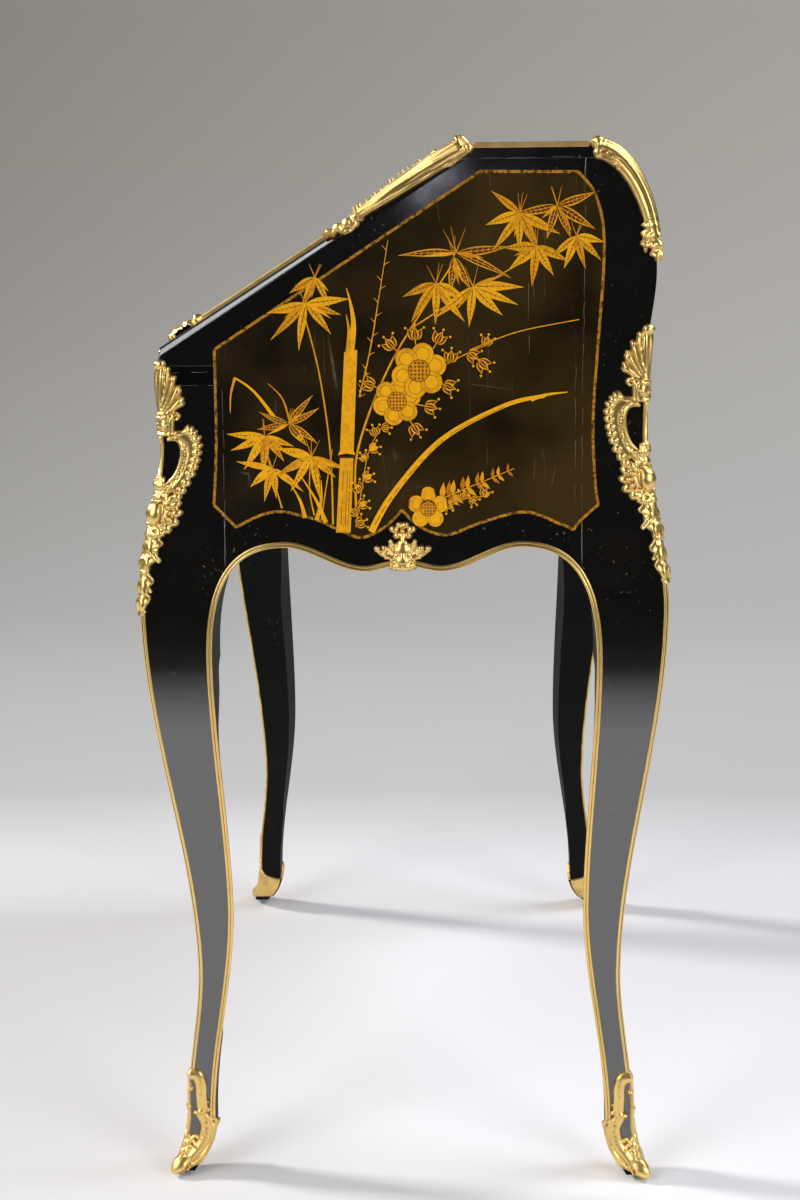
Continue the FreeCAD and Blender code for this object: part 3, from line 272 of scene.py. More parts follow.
# lamps, as place, aim, size, watts, spread and tint: a key from the left and behind, softboxes beside the
# camera and over the slope, a dim card and a glint for the gloss to reflect, and a wash on the backdrop
lamps = {"key_softbox": ((-1.3, -5.6, 4.2), (0, 0, 0.45), 0.8, 39, 60, "#fffaf5"),
         "left_softbox": ((2.6, -2.5, 1.7), (0, 0, 0.6), 1.8, 50, 180, "#ffffff"),
         "right_softbox": ((2.6, 2.7, 1.7), (0, 0, 0.6), 1.8, 62, 180, "#ffffff"),
         "slope_softbox": ((0.6, -2.4, 3.8), (0.3, 0, 0.8), 1.7, 26, 180, "#ffffff"),
         "edge_softbox": ((1.9, -2.02, 3.17), (0.3, -0.1, 0.85), 1.2, 17, 180, "#ffffff"),
         "front_card": ((5.2, 0.1, 0.66), (0, 0.1, 0.66), 0.4, 0.12, 180, "#dfe2ff"),
         "front_glint": ((5.2, -0.06, 0.84), (0, -0.06, 0.84), 0.13, 0.2, 180, "#eef0ff"),
         "wall_wash": ((-0.5, 2.6, 4.0), (-3.3, 0.5, 1.6), 2.4, 174, 180, "#f4f6ff")}
for name, (spot, aim, size, power, spread, tint) in lamps.items():
    bpy.ops.object.light_add(type="AREA", location=spot)
    lamp = bpy.context.object
    lamp.name = name
    lamp.data.size = size
    lamp.data.energy = power
    lamp.data.spread = math.radians(spread)
    lamp.data.color = hexColour(tint)[:3]
    lamp.rotation_euler = (Vector(aim) - Vector(spot)).to_track_quat("-Z", "Y").to_euler()
world = bpy.data.worlds.new("dim_studio")
bpy.context.scene.world = world
world.use_nodes = True
sky = world.node_tree.nodes["Background"].inputs
sky["Color"].default_value = hexColour("#7d7a75")
sky["Strength"].default_value = 0.14
print("stage and lamps set")


# materials

def twoTone(tree, place, noise, span, colours):
    # a noise, and the blend of two colours that follows it
    cloud = addNode(tree, "TexNoise", {"Vector": place}, noise)
    share = addNode(tree, "MapRange", {"Value": cloud}, span)
    return cloud, addNode(tree, "MixRGB", {"Fac": share}, {"Color1": colours[0], "Color2": colours[1]})


# black japanning: asphaltum varnish rubbed to a deep gloss, thin brown places and fine pale losses
blackGround = "#050505"
look = {"thin": "#120d09", "loss": "#6f6252", "patch": 0.045, "loss size": 0.0016,
        "slope": (0, -0.5299, 0.8481), "slope height": 0.7607, "arris": 0.0007, "softer": 0.0023}
blackLacquer, tree, shader, place = newMaterial("black_japanned_lacquer", IOR=2.05, Coat_IOR=1.6,
                                                Coat_Roughness=0.06)
grounded = twoTone(tree, place, {"Scale": 1 / look["patch"], "Detail": 5},
                   {"From Min": 0.52, "From Max": 0.85}, (blackGround, look["thin"]))[1]
specks = addNode(tree, "TexNoise", {"Vector": place}, {"Scale": 0.5 / look["loss size"], "Detail": 2})
where = addNode(tree, "TexNoise", {"Vector": place}, {"Scale": 14, "Detail": 2})
sparse = addNode(tree, "MapRange", {"Value": where}, {"To Min": -0.18, "To Max": 0.14})
count = addNode(tree, "Math", {0: specks, 1: sparse}, operation="ADD")
lost = addNode(tree, "MapRange", {"Value": count}, {"From Min": 0.70, "From Max": 0.76, "To Max": 0.7})
worn = addNode(tree, "MixRGB", {"Fac": lost, "Color1": grounded}, {"Color2": look["loss"]})
haze = addNode(tree, "TexNoise", {"Vector": place}, {"Scale": 60, "Detail": 6, "Roughness": 0.7})
gloss = addNode(tree, "MapRange", {"Value": haze}, {"To Min": 0.03, "To Max": 0.14})
# inner faces are rougher and lose nearly all their reflection and coat, as painted shade that keeps them dark
facing = addNode(tree, "TexCoord").outputs["Normal"]
level = addNode(tree, "VectorMath", {0: place}, {1: (1, 1, 0)}, operation="MULTIPLY")
inward = addNode(tree, "VectorMath", {0: facing, 1: level}, operation="DOT_PRODUCT").outputs["Value"]
inner = addNode(tree, "MapRange", {"Value": inward}, {"From Min": -0.02, "From Max": -0.06})
matt = addNode(tree, "Math", {0: inner, 2: gloss}, {1: 0.5}, operation="MULTIPLY_ADD")
shine = addNode(tree, "MapRange", {"Value": inner}, {"To Min": 0.5, "To Max": 0.05})
coat = addNode(tree, "MapRange", {"Value": inner}, {"To Min": 0.45, "To Max": 0.0})
ripple = addNode(tree, "TexNoise", {"Vector": place}, {"Scale": 35, "Detail": 4})
hollow = addNode(tree, "Math", {0: ripple, 1: lost}, operation="SUBTRACT")
# the arrises of the slope are softer than the others
height = addNode(tree, "VectorMath", {0: place}, {1: look["slope"]}, operation="DOT_PRODUCT").outputs["Value"]
upper = addNode(tree, "Math", {0: height}, {1: look["slope height"]}, operation="GREATER_THAN")
radius = addNode(tree, "Math", {0: upper}, {1: look["softer"], 2: look["arris"]}, operation="MULTIPLY_ADD")
rounded = addNode(tree, "Bevel", {"Radius": radius}, samples=6)
relief = addNode(tree, "Bump", {"Height": hollow, "Normal": rounded}, {"Strength": 0.12, "Distance": 0.0006})
connect(shader, {"Base Color": worn, "Roughness": matt, "Specular IOR Level": shine, "Coat Weight": coat,
                 "Normal": relief})

# the painted ground of a panel: brown lacquer under yellowed varnish, with upright shrinkage cracks
look = {"dark": "#130d02", "light": "#3d2d0c", "crack": "#8a7c66", "cloud": 0.09, "crack gap": 0.016}
panelGround, tree, shader, place = newMaterial("aged_brown_lacquer_ground", IOR=1.36, Coat_Weight=0.05,
                                               Coat_Roughness=0.2)
clouds = addNode(tree, "TexNoise", {"Vector": place}, {"Scale": 1 / look["cloud"], "Detail": 6})
# the ground is darker towards the front and lighter towards the back
depth = addNode(tree, "SeparateXYZ", {"Vector": place}).outputs["Y"]
towardsBack = addNode(tree, "Math", {0: depth, 1: clouds}, operation="ADD")
mottle = addNode(tree, "MapRange", {"Value": towardsBack}, {"From Min": 0.35, "From Max": 0.72})
stain = addNode(tree, "MixRGB", {"Fac": mottle}, {"Color1": look["dark"], "Color2": look["light"]})
across = 1 / look["crack gap"]
drawn = addNode(tree, "Mapping", {"Vector": place}, {"Scale": (across, across, 1.2)})
cracks = addNode(tree, "TexVoronoi", {"Vector": drawn}, {"Scale": 1.0}, feature="DISTANCE_TO_EDGE")
opened = addNode(tree, "MapRange", {"Value": cracks}, {"From Max": 0.012, "To Min": 1.0, "To Max": 0.0})
broken = addNode(tree, "TexNoise", {"Vector": place}, {"Scale": 22, "Detail": 3})
shown = addNode(tree, "MapRange", {"Value": broken}, {"From Min": 0.55, "From Max": 0.68, "To Max": 0.55})
split = addNode(tree, "Math", {0: opened, 1: shown}, operation="MULTIPLY")
aged = addNode(tree, "MixRGB", {"Fac": split, "Color1": stain}, {"Color2": look["crack"]})
gloss = addNode(tree, "MapRange", {"Value": clouds}, {"To Min": 0.22, "To Max": 0.42})
relief = addNode(tree, "Bump", {"Height": split}, {"Strength": 0.3, "Distance": 0.0004}, invert=True)
connect(shader, {"Base Color": aged, "Roughness": gloss, "Normal": relief})

# gold powder in lacquer: orange-yellow, streaked by the brush, worn to brown; "tone" on a piece shifts it
look = {"bright": "#ffb60c", "deep": "#a8560a", "worn": "#b8690c", "streak": 0.004}
goldLacquer, tree, shader, place = newMaterial("gold_powder_lacquer", IOR=1.5, Metallic=0.05, Roughness=0.4)
tone = addNode(tree, "Attribute", attribute_name="tone")
brush = addNode(tree, "TexNoise", {"Vector": place}, {"Scale": 1 / look["streak"], "Detail": 4})
blend = addNode(tree, "Math", {0: brush, 1: tone}, operation="ADD")
mix = addNode(tree, "MapRange", {"Value": blend}, {"From Min": 0.55, "From Max": 1.45})
gold = addNode(tree, "MixRGB", {"Fac": mix}, {"Color1": look["bright"], "Color2": look["deep"]})
rub = addNode(tree, "TexNoise", {"Vector": place}, {"Scale": 90, "Detail": 5, "Roughness": 0.7})
rubbed = addNode(tree, "MapRange", {"Value": rub}, {"From Min": 0.60, "From Max": 0.72, "To Max": 0.6})
wornGold = addNode(tree, "MixRGB", {"Fac": rubbed, "Color1": gold}, {"Color2": look["worn"]})
connect(shader, {"Base Color": wornGold})

# the same gold broken along a border line, where much of it has worn off
borderGold, tree, shader, place = newMaterial("worn_gold_border", IOR=1.5, Metallic=0.15, Roughness=0.4)
lineGold = twoTone(tree, place, {"Scale": 330, "Detail": 4, "Roughness": 0.65},
                   {"From Min": 0.44, "From Max": 0.62}, ("#c98a22", "#3a2208"))[1]
connect(shader, {"Base Color": lineGold})

# iron-red lacquer that has browned, for veins and dark leaves in the gold
redLacquer, tree, shader, place = newMaterial("iron_red_lacquer", IOR=1.5, Roughness=0.4)
red = twoTone(tree, place, {"Scale": 300, "Detail": 3}, {}, ("#32120a", "#73300a"))[1]
connect(shader, {"Base Color": red})

# dust that has settled in shrinkage cracks, pale and matt
paleDust, tree, shader, place = newMaterial("dust_in_cracks", Roughness=0.8)
dust = twoTone(tree, place, {"Scale": 500, "Detail": 3}, {}, ("#1a1713", "#8d8474"))[1]
connect(shader, {"Base Color": dust})

# gilt bronze: cast, chased and mercury gilt; its colour follows the relief, bright on the heights and brown
# in the hollows as painted shade, and the heights are smoother
look = {"bright": "#efcd80", "hollow": "#8f6426", "pit": 0.0012}
giltBronze, tree, shader, place = newMaterial("mercury_gilt_bronze", Metallic=1.0)
# the relief height darkens the gold in the hollows: painted shade
height = addNode(tree, "Attribute", attribute_name="relief")
toned = addNode(tree, "TexNoise", {"Vector": place}, {"Scale": 70, "Detail": 4})
lift = addNode(tree, "Math", {0: height, 1: toned}, operation="ADD")
shown = addNode(tree, "MapRange", {"Value": lift}, {"From Min": 0.45, "From Max": 1.05})
gilt = addNode(tree, "MixRGB", {"Fac": shown}, {"Color1": look["hollow"], "Color2": look["bright"]})
polish = addNode(tree, "MapRange", {"Value": lift},
                 {"From Min": 0.4, "From Max": 1.2, "To Min": 0.50, "To Max": 0.33})
pits = addNode(tree, "TexNoise", {"Vector": place}, {"Scale": 0.6 / look["pit"], "Detail": 3})
relief = addNode(tree, "Bump", {"Height": pits}, {"Strength": 0.45, "Distance": 0.0006})
connect(shader, {"Base Color": gilt, "Roughness": polish, "Normal": relief})

# gilt strip: drawn and filed, the same gilding without chasing
giltStrip, tree, shader, place = newMaterial("gilt_drawn_bronze", Metallic=1.0)
toned, gilt = twoTone(tree, place, {"Scale": 45, "Detail": 6, "Roughness": 0.65},
                      {"From Min": 0.35, "From Max": 0.68}, ("#dcae5e", "#fbdf9c"))
polish = addNode(tree, "MapRange", {"Value": toned}, {"To Min": 0.52, "To Max": 0.40})
filed = addNode(tree, "Bevel", {}, {"Radius": 0.0018}, samples=6)
connect(shader, {"Base Color": gilt, "Roughness": polish, "Normal": filed})

# waxed walnut inside, with pores half a millimetre wide: grain along the width, or along the depth on lopers,
# dividers and drawer boxes
look = {"light": "#8a5530", "dark": "#4a2512", "deep": "#241006", "ring": 0.011, "pore": 0.0005,
        "board end": 0.3018, "board front": -0.1880, "gloss": 0.12}
woods = []
for name, grain in (("waxed_walnut_across", (0.05, 1, 1)), ("waxed_walnut_lengthwise", (1, 0.05, 1))):
    walnut, tree, shader, place = newMaterial(name, IOR=1.5, Coat_Weight=0.15, Coat_Roughness=0.25)
    along = addNode(tree, "Mapping", {"Vector": place}, {"Scale": grain})
    figure, wood = twoTone(tree, along, {"Scale": 1 / look["ring"], "Detail": 6, "Distortion": 0.8},
                           {"From Min": 0.36, "From Max": 0.66}, (look["dark"], look["light"]))
    pores = addNode(tree, "TexNoise", {"Vector": along}, {"Scale": 0.5 / look["pore"], "Detail": 2})
    dots = addNode(tree, "MapRange", {"Value": pores}, {"From Min": 0.6, "From Max": 0.72, "To Max": 0.55})
    pored = addNode(tree, "MixRGB", {"Fac": dots, "Color1": wood}, {"Color2": look["deep"]})
    # the edges of a board that reach the outside are japanned like the case
    outside = addNode(tree, "SeparateXYZ", {"Vector": place}).outputs
    away = addNode(tree, "Math", {0: outside["X"]}, operation="ABSOLUTE")
    sides = addNode(tree, "Math", {0: away}, {1: look["board end"]}, operation="GREATER_THAN")
    front = addNode(tree, "Math", {0: outside["Y"]}, {1: look["board front"]}, operation="LESS_THAN")
    edges = addNode(tree, "Math", {0: sides, 1: front}, operation="MAXIMUM")
    japanned = addNode(tree, "MixRGB", {"Fac": edges, "Color1": pored}, {"Color2": blackGround})
    sheen = addNode(tree, "MapRange", {"Value": figure}, {"To Min": 0.34, "To Max": 0.5})
    rubbed = addNode(tree, "MixRGB", {"Fac": edges, "Color1": sheen}, {"Color2": [look["gloss"]] * 3 + [1]})
    relief = addNode(tree, "Bump", {"Height": dots}, {"Strength": 0.2, "Distance": 0.0003}, invert=True)
    connect(shader, {"Base Color": japanned, "Roughness": rubbed, "Normal": relief})
    woods.append(walnut)

# satin hinge brass with file marks, and filed lock steel, greyed by oil
metals = []
for name, marks, colours, dull in (("satin_cast_brass", (40, 900, 900), ("#8f6a2c", "#c9a55a"), (0.28, 0.45)),
                                   ("filed_steel", (900, 60, 60), ("#5c5b58", "#9a9893"), (0.3, 0.5))):
    metal, tree, shader, place = newMaterial(name, Metallic=1.0)
    drawn = addNode(tree, "Mapping", {"Vector": place}, {"Scale": marks})
    filed, tint = twoTone(tree, drawn, {"Scale": 1.0, "Detail": 3}, {}, colours)
    rough = addNode(tree, "MapRange", {"Value": filed}, {"To Min": dull[0], "To Max": dull[1]})
    connect(shader, {"Base Color": tint, "Roughness": rough})
    metals.append(metal)

# skiver leather: dyed dark red, pebbled grain about a millimetre across, darker where hands rub
look = {"dye": "#5b1f14", "rubbed": "#33100a", "pebble": 0.0014}
deskLeather, tree, shader, place = newMaterial("dyed_skiver_leather", IOR=1.48)
hold, hide = twoTone(tree, place, {"Scale": 9, "Detail": 5}, {"From Min": 0.4, "From Max": 0.7},
                     (look["dye"], look["rubbed"]))
matt = addNode(tree, "MapRange", {"Value": hold}, {"To Min": 0.62, "To Max": 0.4})
pebbles = addNode(tree, "TexVoronoi", {"Vector": place}, {"Scale": 1 / look["pebble"]}, feature="SMOOTH_F1")
relief = addNode(tree, "Bump", {"Height": pebbles}, {"Strength": 0.35, "Distance": 0.0005})
connect(shader, {"Base Color": hide, "Roughness": matt, "Normal": relief})

finishes = {"black_lacquer": blackLacquer, "gilt_bronze": giltStrip, "interior_wood": woods[0],
            "hinge_brass": metals[0], "lock_steel": metals[1], "writing_leather": deskLeather}
lengthwise = ("loper_left", "loper_right", "loper_guide", "gallery_lower", "gallery_upper", "drawer_box")
for part in frame["record"]["subparts"]:
    finish = finishes[part["material_slot"]]
    if finish == woods[0] and part["node"].startswith(lengthwise):
        finish = woods[1]
    dress(nodes[part["node"]], finish)
print("finishes set")


# end boards again, with the outer arris of the slope rubbed round
boardShape = {"outer": 0.3195, "flat above": 0.6995, "slope": Vector((0, -0.5299, 0.8481)),
              "slope height": 0.7688, "near": 0.0004, "weld": 0.00001, "flat": 0.2, "radius": 0.0075,
              "segments": 7, "crease": 30}


def onEnd(point):
    near = abs(abs(point.x) - boardShape["outer"]) < boardShape["near"]
    return near and point.z > boardShape["flat above"]


def onSlope(point):
    return abs(point.dot(boardShape["slope"]) - boardShape["slope height"]) < boardShape["near"]


def onArris(point):
    return onEnd(point) and onSlope(point)


for hand, sideX in hands:
    choose(nodes["side_panel_" + hand])
    bpy.ops.object.duplicate()
    board = bpy.context.object
    board.name = "end_board_" + hand
    bpy.ops.object.parent_clear(type="CLEAR_KEEP_TRANSFORM")
    bpy.ops.object.transform_apply(location=True, rotation=True, scale=True)
    bpy.ops.object.mode_set(mode="EDIT")
    bpy.ops.mesh.customdata_custom_splitnormals_clear()
    bpy.ops.mesh.select_all(action="SELECT")
    bpy.ops.mesh.remove_doubles(threshold=boardShape["weld"])
    # the two flat faces at the arris become one polygon each
    bpy.ops.mesh.select_mode(type="FACE")
    bpy.ops.mesh.select_all(action="DESELECT")
    bpy.ops.object.mode_set(mode="OBJECT")
    for face in board.data.polygons:
        spots = [board.data.vertices[i].co for i in face.vertices]
        face.select = all(map(onEnd, spots)) or all(map(onSlope, spots))
    bpy.ops.object.mode_set(mode="EDIT")
    bpy.ops.mesh.dissolve_limited(angle_limit=math.radians(boardShape["flat"]))
    selectEdges(board.data, onArris)
    bpy.ops.mesh.bevel(offset=boardShape["radius"], segments=boardShape["segments"], affect="EDGES",
                       clamp_overlap=False)
    bpy.ops.object.mode_set(mode="OBJECT")
    bpy.ops.object.shade_smooth_by_angle(angle=math.radians(boardShape["crease"]))
    bpy.ops.object.modifier_add(type="WEIGHTED_NORMAL")
    board.modifiers[-1].keep_sharp = True
    bpy.ops.object.modifier_apply(modifier=board.modifiers[-1].name)
    dress(board, blackLacquer, "case", ["side_panel_" + hand])
print("end boards rounded")


# cast ornament: motifs are heights in millimetres over a flat drawing, joined by the highest

def smoothLine(points, steps=6):
    # rounded run through the points
    ends = [points[0]] + list(points) + [points[-1]]
    line = []
    for run in zip(ends, ends[1:], ends[2:], ends[3:]):
        a, b, c, d = np.array(run, float)
        for k in range(steps):
            t = k / steps
            line.append(0.5 * (2 * b + (c - a) * t + (2 * a - 5 * b + 4 * c - d) * t * t
                               + (3 * b - a - 3 * c + d) * t ** 3))
    return np.array(line + [ends[-1]], float)


def nearLine(u, v, line):
    # distance to a line, and the share of its length there
    best = np.full(u.shape, 1e9)
    share = np.zeros(u.shape)
    for k, (a, b) in enumerate(zip(line, line[1:])):
        run = b - a
        t = np.clip(((u - a[0]) * run[0] + (v - a[1]) * run[1]) / max(run @ run, 1e-9), 0, 1)
        gap = np.hypot(u - a[0] - t * run[0], v - a[1] - t * run[1])
        closer = gap < best
        best = np.where(closer, gap, best)
        share = np.where(closer, (k + t) / (len(line) - 1), share)
    return best, share


def rod(u, v, points, thick, thin, rise):
    # a round rod along a line, tapering
    gap, share = nearLine(u, v, smoothLine(points))
    radius = thick + (thin - thick) * share
    return rise * np.sqrt(np.clip(radius ** 2 - gap ** 2, 0, None))


def leaf(u, v, base, tip, width, rise, bend, lobes):
    # a lobed leaf with a sunk midrib and ribs to each lobe
    base, tip = np.array(base, float), np.array(tip, float)
    run = tip - base
    middle = (base + tip) / 2 + bend * np.array([-run[1], run[0]])
    gap, share = nearLine(u, v, smoothLine([base, middle, tip], 10))
    outline = np.sin(np.pi * np.clip(share, 0.02, 1) ** 0.7) ** 0.7
    half = width * outline * (0.76 + 0.24 * np.cos(2 * np.pi * lobes * share)) + 0.2
    across = np.clip(gap / half, 0, 1)
    inside = (gap < half) & (share > 0.0) & (share < 1.0)
    body = np.sqrt(1 - across ** 2) * (1 - 0.45 * np.exp(-(across / 0.16) ** 2))
    ribs = 0.80 + 0.20 * np.cos(2 * np.pi * (lobes * share - 0.7 * across))
    return np.where(inside, rise * (0.35 + 0.65 * body) * ribs * (0.75 + 0.5 * share), 0)


def dome(u, v, centre, wide, tall, rise, turn=0.0):
    c, s = math.cos(math.radians(turn)), math.sin(math.radians(turn))
    du, dv = u - centre[0], v - centre[1]
    a, b = (c * du + s * dv) / wide, (c * dv - s * du) / tall
    return rise * np.sqrt(np.clip(1 - a * a - b * b, 0, None))


def scallop(u, v, centre, radius, start, stop, ribs, rise, narrow=1.0):
    # a scallop shell that opens between two angles
    du, dv = u * narrow - centre[0], v - centre[1]
    part = (np.degrees(np.arctan2(dv, du)) - start) / (stop - start)
    fan = np.abs(np.sin(np.pi * ribs * np.clip(part, 0, 1)))
    reach = np.hypot(du, dv) / (radius * (0.84 + 0.16 * fan))
    body = np.sqrt(np.clip(1 - reach ** 3, 0, None)) * (0.35 + 0.65 * reach) * (0.45 + 0.55 * fan)
    return np.where((part >= 0) & (part <= 1), rise * body, 0)


def beadRow(u, v, points, count, radius, rise):
    line = smoothLine(points, 12)
    spots = [line[int(round(k * (len(line) - 1) / (count - 1)))] for k in range(count)]
    return np.max([dome(u, v, spot, radius, radius, rise) for spot in spots], axis=0)


def lobeRow(u, v, points, count, length, width, rise):
    # gadroons that stand across a line
    line = smoothLine(points, 12)
    lobes = []
    for k in range(count):
        i = int(round(k * (len(line) - 1) / (count - 1)))
        run = line[min(i + 1, len(line) - 1)] - line[max(i - 1, 0)]
        turn = math.degrees(math.atan2(run[1], run[0]))
        lobes.append(dome(u, v, line[i], width, length, rise, turn))
    return np.max(lobes, axis=0)


def carve(u, v, rows):
    # each row is a motif with its measures
    return np.max([motif(u, v, *measures) for motif, *measures in rows], axis=0)


castShape = {"bare": 0.05, "sunk": -1.2, "bright share": 90}


def castMount(name, box, step, field, lay, inside, covers, body="case"):
    # a fine grid over the drawing, raised by the field, cut to its outline and laid on the furniture
    low, high = box
    wide, tall = high[0] - low[0], high[1] - low[1]
    bpy.ops.object.select_all(action="DESELECT")
    across, along = int(round(wide / step)), int(round(tall / step))
    bpy.ops.mesh.primitive_grid_add(x_subdivisions=across, y_subdivisions=along, size=1)
    piece = bpy.context.object
    piece.name = name
    flat = np.array([v.co for v in piece.data.vertices])
    u, v = low[0] + (flat[:, 0] + 0.5) * wide, low[1] + (flat[:, 1] + 0.5) * tall
    rise = field(u, v)
    bare = rise <= castShape["bare"]
    w = np.where(bare, castShape["sunk"], rise)
    bpy.ops.object.mode_set(mode="EDIT")
    bpy.ops.mesh.select_mode(type="FACE")
    bpy.ops.object.mode_set(mode="OBJECT")
    for face in piece.data.polygons:
        face.select = all(bare[i] for i in face.vertices)
    points = lay(u / 1000, v / 1000, w / 1000)
    piece.data.vertices.foreach_set("co", np.ascontiguousarray(points, np.float32).ravel())
    # relief: height over the drawing, which the gilt bronze turns into painted shade in the hollows
    heights = piece.data.attributes.new("relief", "FLOAT", "POINT")
    top = np.percentile(rise[~bare], castShape["bright share"])
    heights.data.foreach_set("value", np.clip(rise / top, 0, 1).astype(np.float32))
    bpy.ops.object.mode_set(mode="EDIT")
    bpy.ops.mesh.delete(type="FACE")
    bpy.ops.mesh.select_all(action="SELECT")
    bpy.ops.mesh.delete_loose()
    bpy.ops.object.mode_set(mode="OBJECT")
    bpy.ops.object.shade_smooth()
    faceOut(piece, Vector(inside))
    dress(piece, giltBronze, body, [covers])


def cornerLay(sideX, sideY, top):
    # wraps a drawing round a leg's outer arris: u > 0 on the end, u < 0 on the front or back, v down from top
    bend = 0.004
    arc = bend * math.pi / 4
    inset = backInset if sideY > 0 else legInset

    def lay(u, v, w):
        z = top + v
        turn = np.pi / 4 + np.clip(u, -arc, arc) / bend
        nx, ny = np.sin(turn), np.cos(turn)
        x = legShape["halfWidth"] - legInset(z) - bend + bend * nx + np.minimum(u + arc, 0)
        y = legShape["halfDepth"] - inset(z) - bend + bend * ny - np.maximum(u - arc, 0)
        nz = slopeOf(legInset, z) * nx + slopeOf(inset, z) * ny
        out = w / np.sqrt(1 + nz * nz)
        return np.stack([sideX * (x + out * nx), sideY * (y + out * ny), z + out * nz], axis=1)
    return lay


# pierced corner chutes: palmette, framed boss, open C-scroll, cabochon with petals and a fall of leaves
chuteShape = {"step": 0.8, "box": ((-40, -226), (40, 2)), "front top": 0.768, "back top": 0.795,
              "cabochon": (3, -132), "petals": ((48, 15), (24, 17), (0, 18), (-24, 18), (-48, 17), (-72, 16))}


def chuteField(u, v):
    rim = [(23, -61), (28.5, -67), (30, -76), (28.5, -87), (26, -97), (22, -108), (16.5, -118)]
    channel = [(17, -66), (22.5, -71), (24, -79), (22.5, -90), (19, -101), (13, -110)]
    lip = [(5, -68.5), (11, -68.5), (15.5, -73), (16.5, -82), (15, -93), (11, -102), (5, -108)]
    rows = [
        (dome, (0.5, -4.5), 4.6, 4.4, 6.0),
        (rod, [(0, -6), (0, -30), (0.5, -46)], 2.0, 3.0, 1.4),
        (scallop, (1, -49), 45, 12, 92, 5, 8.5, 2.2),
        (dome, (6.0, -9.5), 3.0, 3.6, 5.0, -20), (dome, (11.0, -17), 3.0, 3.8, 5.0, -30),
        (dome, (14.8, -28), 3.2, 3.8, 5.0, -45), (dome, (16.2, -38), 4.0, 3.2, 4.6),
        (rod, [(0, -46.5), (6, -46.5), (10, -45.5)], 2.0, 1.8, 2.6),
        (rod, [(0.5, -50), (6, -50), (6.5, -63), (0.5, -64)], 1.5, 1.5, 3.6),
        (dome, (3, -57), 6.5, 9.5, 3.4), (dome, (3, -57), 2.4, 3.6, 5.4),
        (rod, [(7, -65), (8.5, -56), (9, -50), (12, -46.5), (14.5, -49), (12.5, -51.5)], 2.6, 1.7, 2.0),
        (rod, [(8, -66), (13, -63.5), (18, -63), (22.5, -58)], 3.0, 2.0, 1.7),
        (rod, channel, 5.6, 5.0, 0.62), (rod, rim, 2.2, 2.0, 1.6), (rod, lip, 2.0, 1.9, 2.2),
        (lobeRow, rim, 11, 4.8, 3.5, 5.2),
        (beadRow, [(x + 3.0, y - 0.4) for x, y in lip[2:-1]], 13, 1.2, 4.6),
        (rod, [(0, -64), (0, -112)], 1.2, 1.2, 1.6),
        (leaf, (2, -120), (2, -101), 4.6, 6.0, 0.0, 2), (leaf, (6, -121), (10, -106), 5.0, 5.2, 0.1, 2),
        (dome, chuteShape["cabochon"], 11, 17, 3.2),
        (rod, [(0, -118), (7, -121), (10, -131), (7.5, -142), (0, -147)], 1.5, 1.5, 3.0),
        (dome, (0.5, -132), 6.4, 10.5, 8.2),
        (lobeRow, [(0, -150), (6, -151), (10, -149)], 4, 3.6, 2.4, 5.6),
        (leaf, (0, -146), (1.5, -183), 13.0, 5.8, -0.03, 3),
        (leaf, (0, -176), (1.0, -220), 10.0, 5.2, -0.03, 3),
        (leaf, (3, -152), (12.5, -174), 5.5, 5.4, -0.15, 2), (leaf, (2, -182), (8, -200), 4.5, 4.6, -0.15, 2),
        (rod, [(0, -150), (0, -186), (0, -220)], 1.6, 1.0, 2.6)]
    x, y = chuteShape["cabochon"]
    for turn, reach in chuteShape["petals"]:
        across, up = reach * math.cos(math.radians(turn)), reach * math.sin(math.radians(turn))
        rows.append((dome, (x + 0.86 * across, y + up), 6.0, 4.0, 5.2, turn))
        rows.append((dome, (x + 0.60 * across, y + 0.72 * up), 3.4, 2.4, 6.0, turn))
    return carve(np.abs(u), v, rows)


for place, sideY, hand, sideX in corners:
    lay = cornerLay(sideX, sideY, chuteShape[place + " top"])
    castMount("chute_mount_%s_%s" % (place, hand), chuteShape["box"], chuteShape["step"], chuteField, lay,
              (0, 0, 0.66), "chute_%s_%s" % (place, hand))
print("chutes cast")


# sabots: a shoe round the whole foot, a flared toe, a spine of leaves and an open scroll on each outer face
sabotShape = {"step": 0.7, "side": 0.025, "bend": 0.003, "top": 0.104, "box": ((-50, -104), (50, 1)),
              "inside": (0.309, 0.196, 0.05)}


def footLay(sideX, sideY):
    # u runs round the foot: outer arris at 0, inner faces beyond one side's width
    bend = sabotShape["bend"]

    def lay(u, v, w):
        z = sabotShape["top"] + v
        outer = legInset(z)
        wide = innerInset(z) - outer
        along = np.abs(u) / sabotShape["side"] * wide
        # a quarter turn at each corner, eased over a few millimetres
        first = np.clip(along / (4 * bend), 0, 0.5)
        second = np.clip((along - wide + bend) / (2 * bend), 0, 1)
        angle = (first + 0.5 + second) * math.pi / 2
        near, far = outer + np.maximum(along - wide, 0), outer + np.minimum(along, wide)
        near, far = w * np.sin(angle) - near, w * np.cos(angle) - far
        x = legShape["halfWidth"] + np.where(u < 0, far, near)
        y = legShape["halfDepth"] + np.where(u < 0, near, far)
        return np.stack([sideX * x, sideY * y, z], axis=1)
    return lay


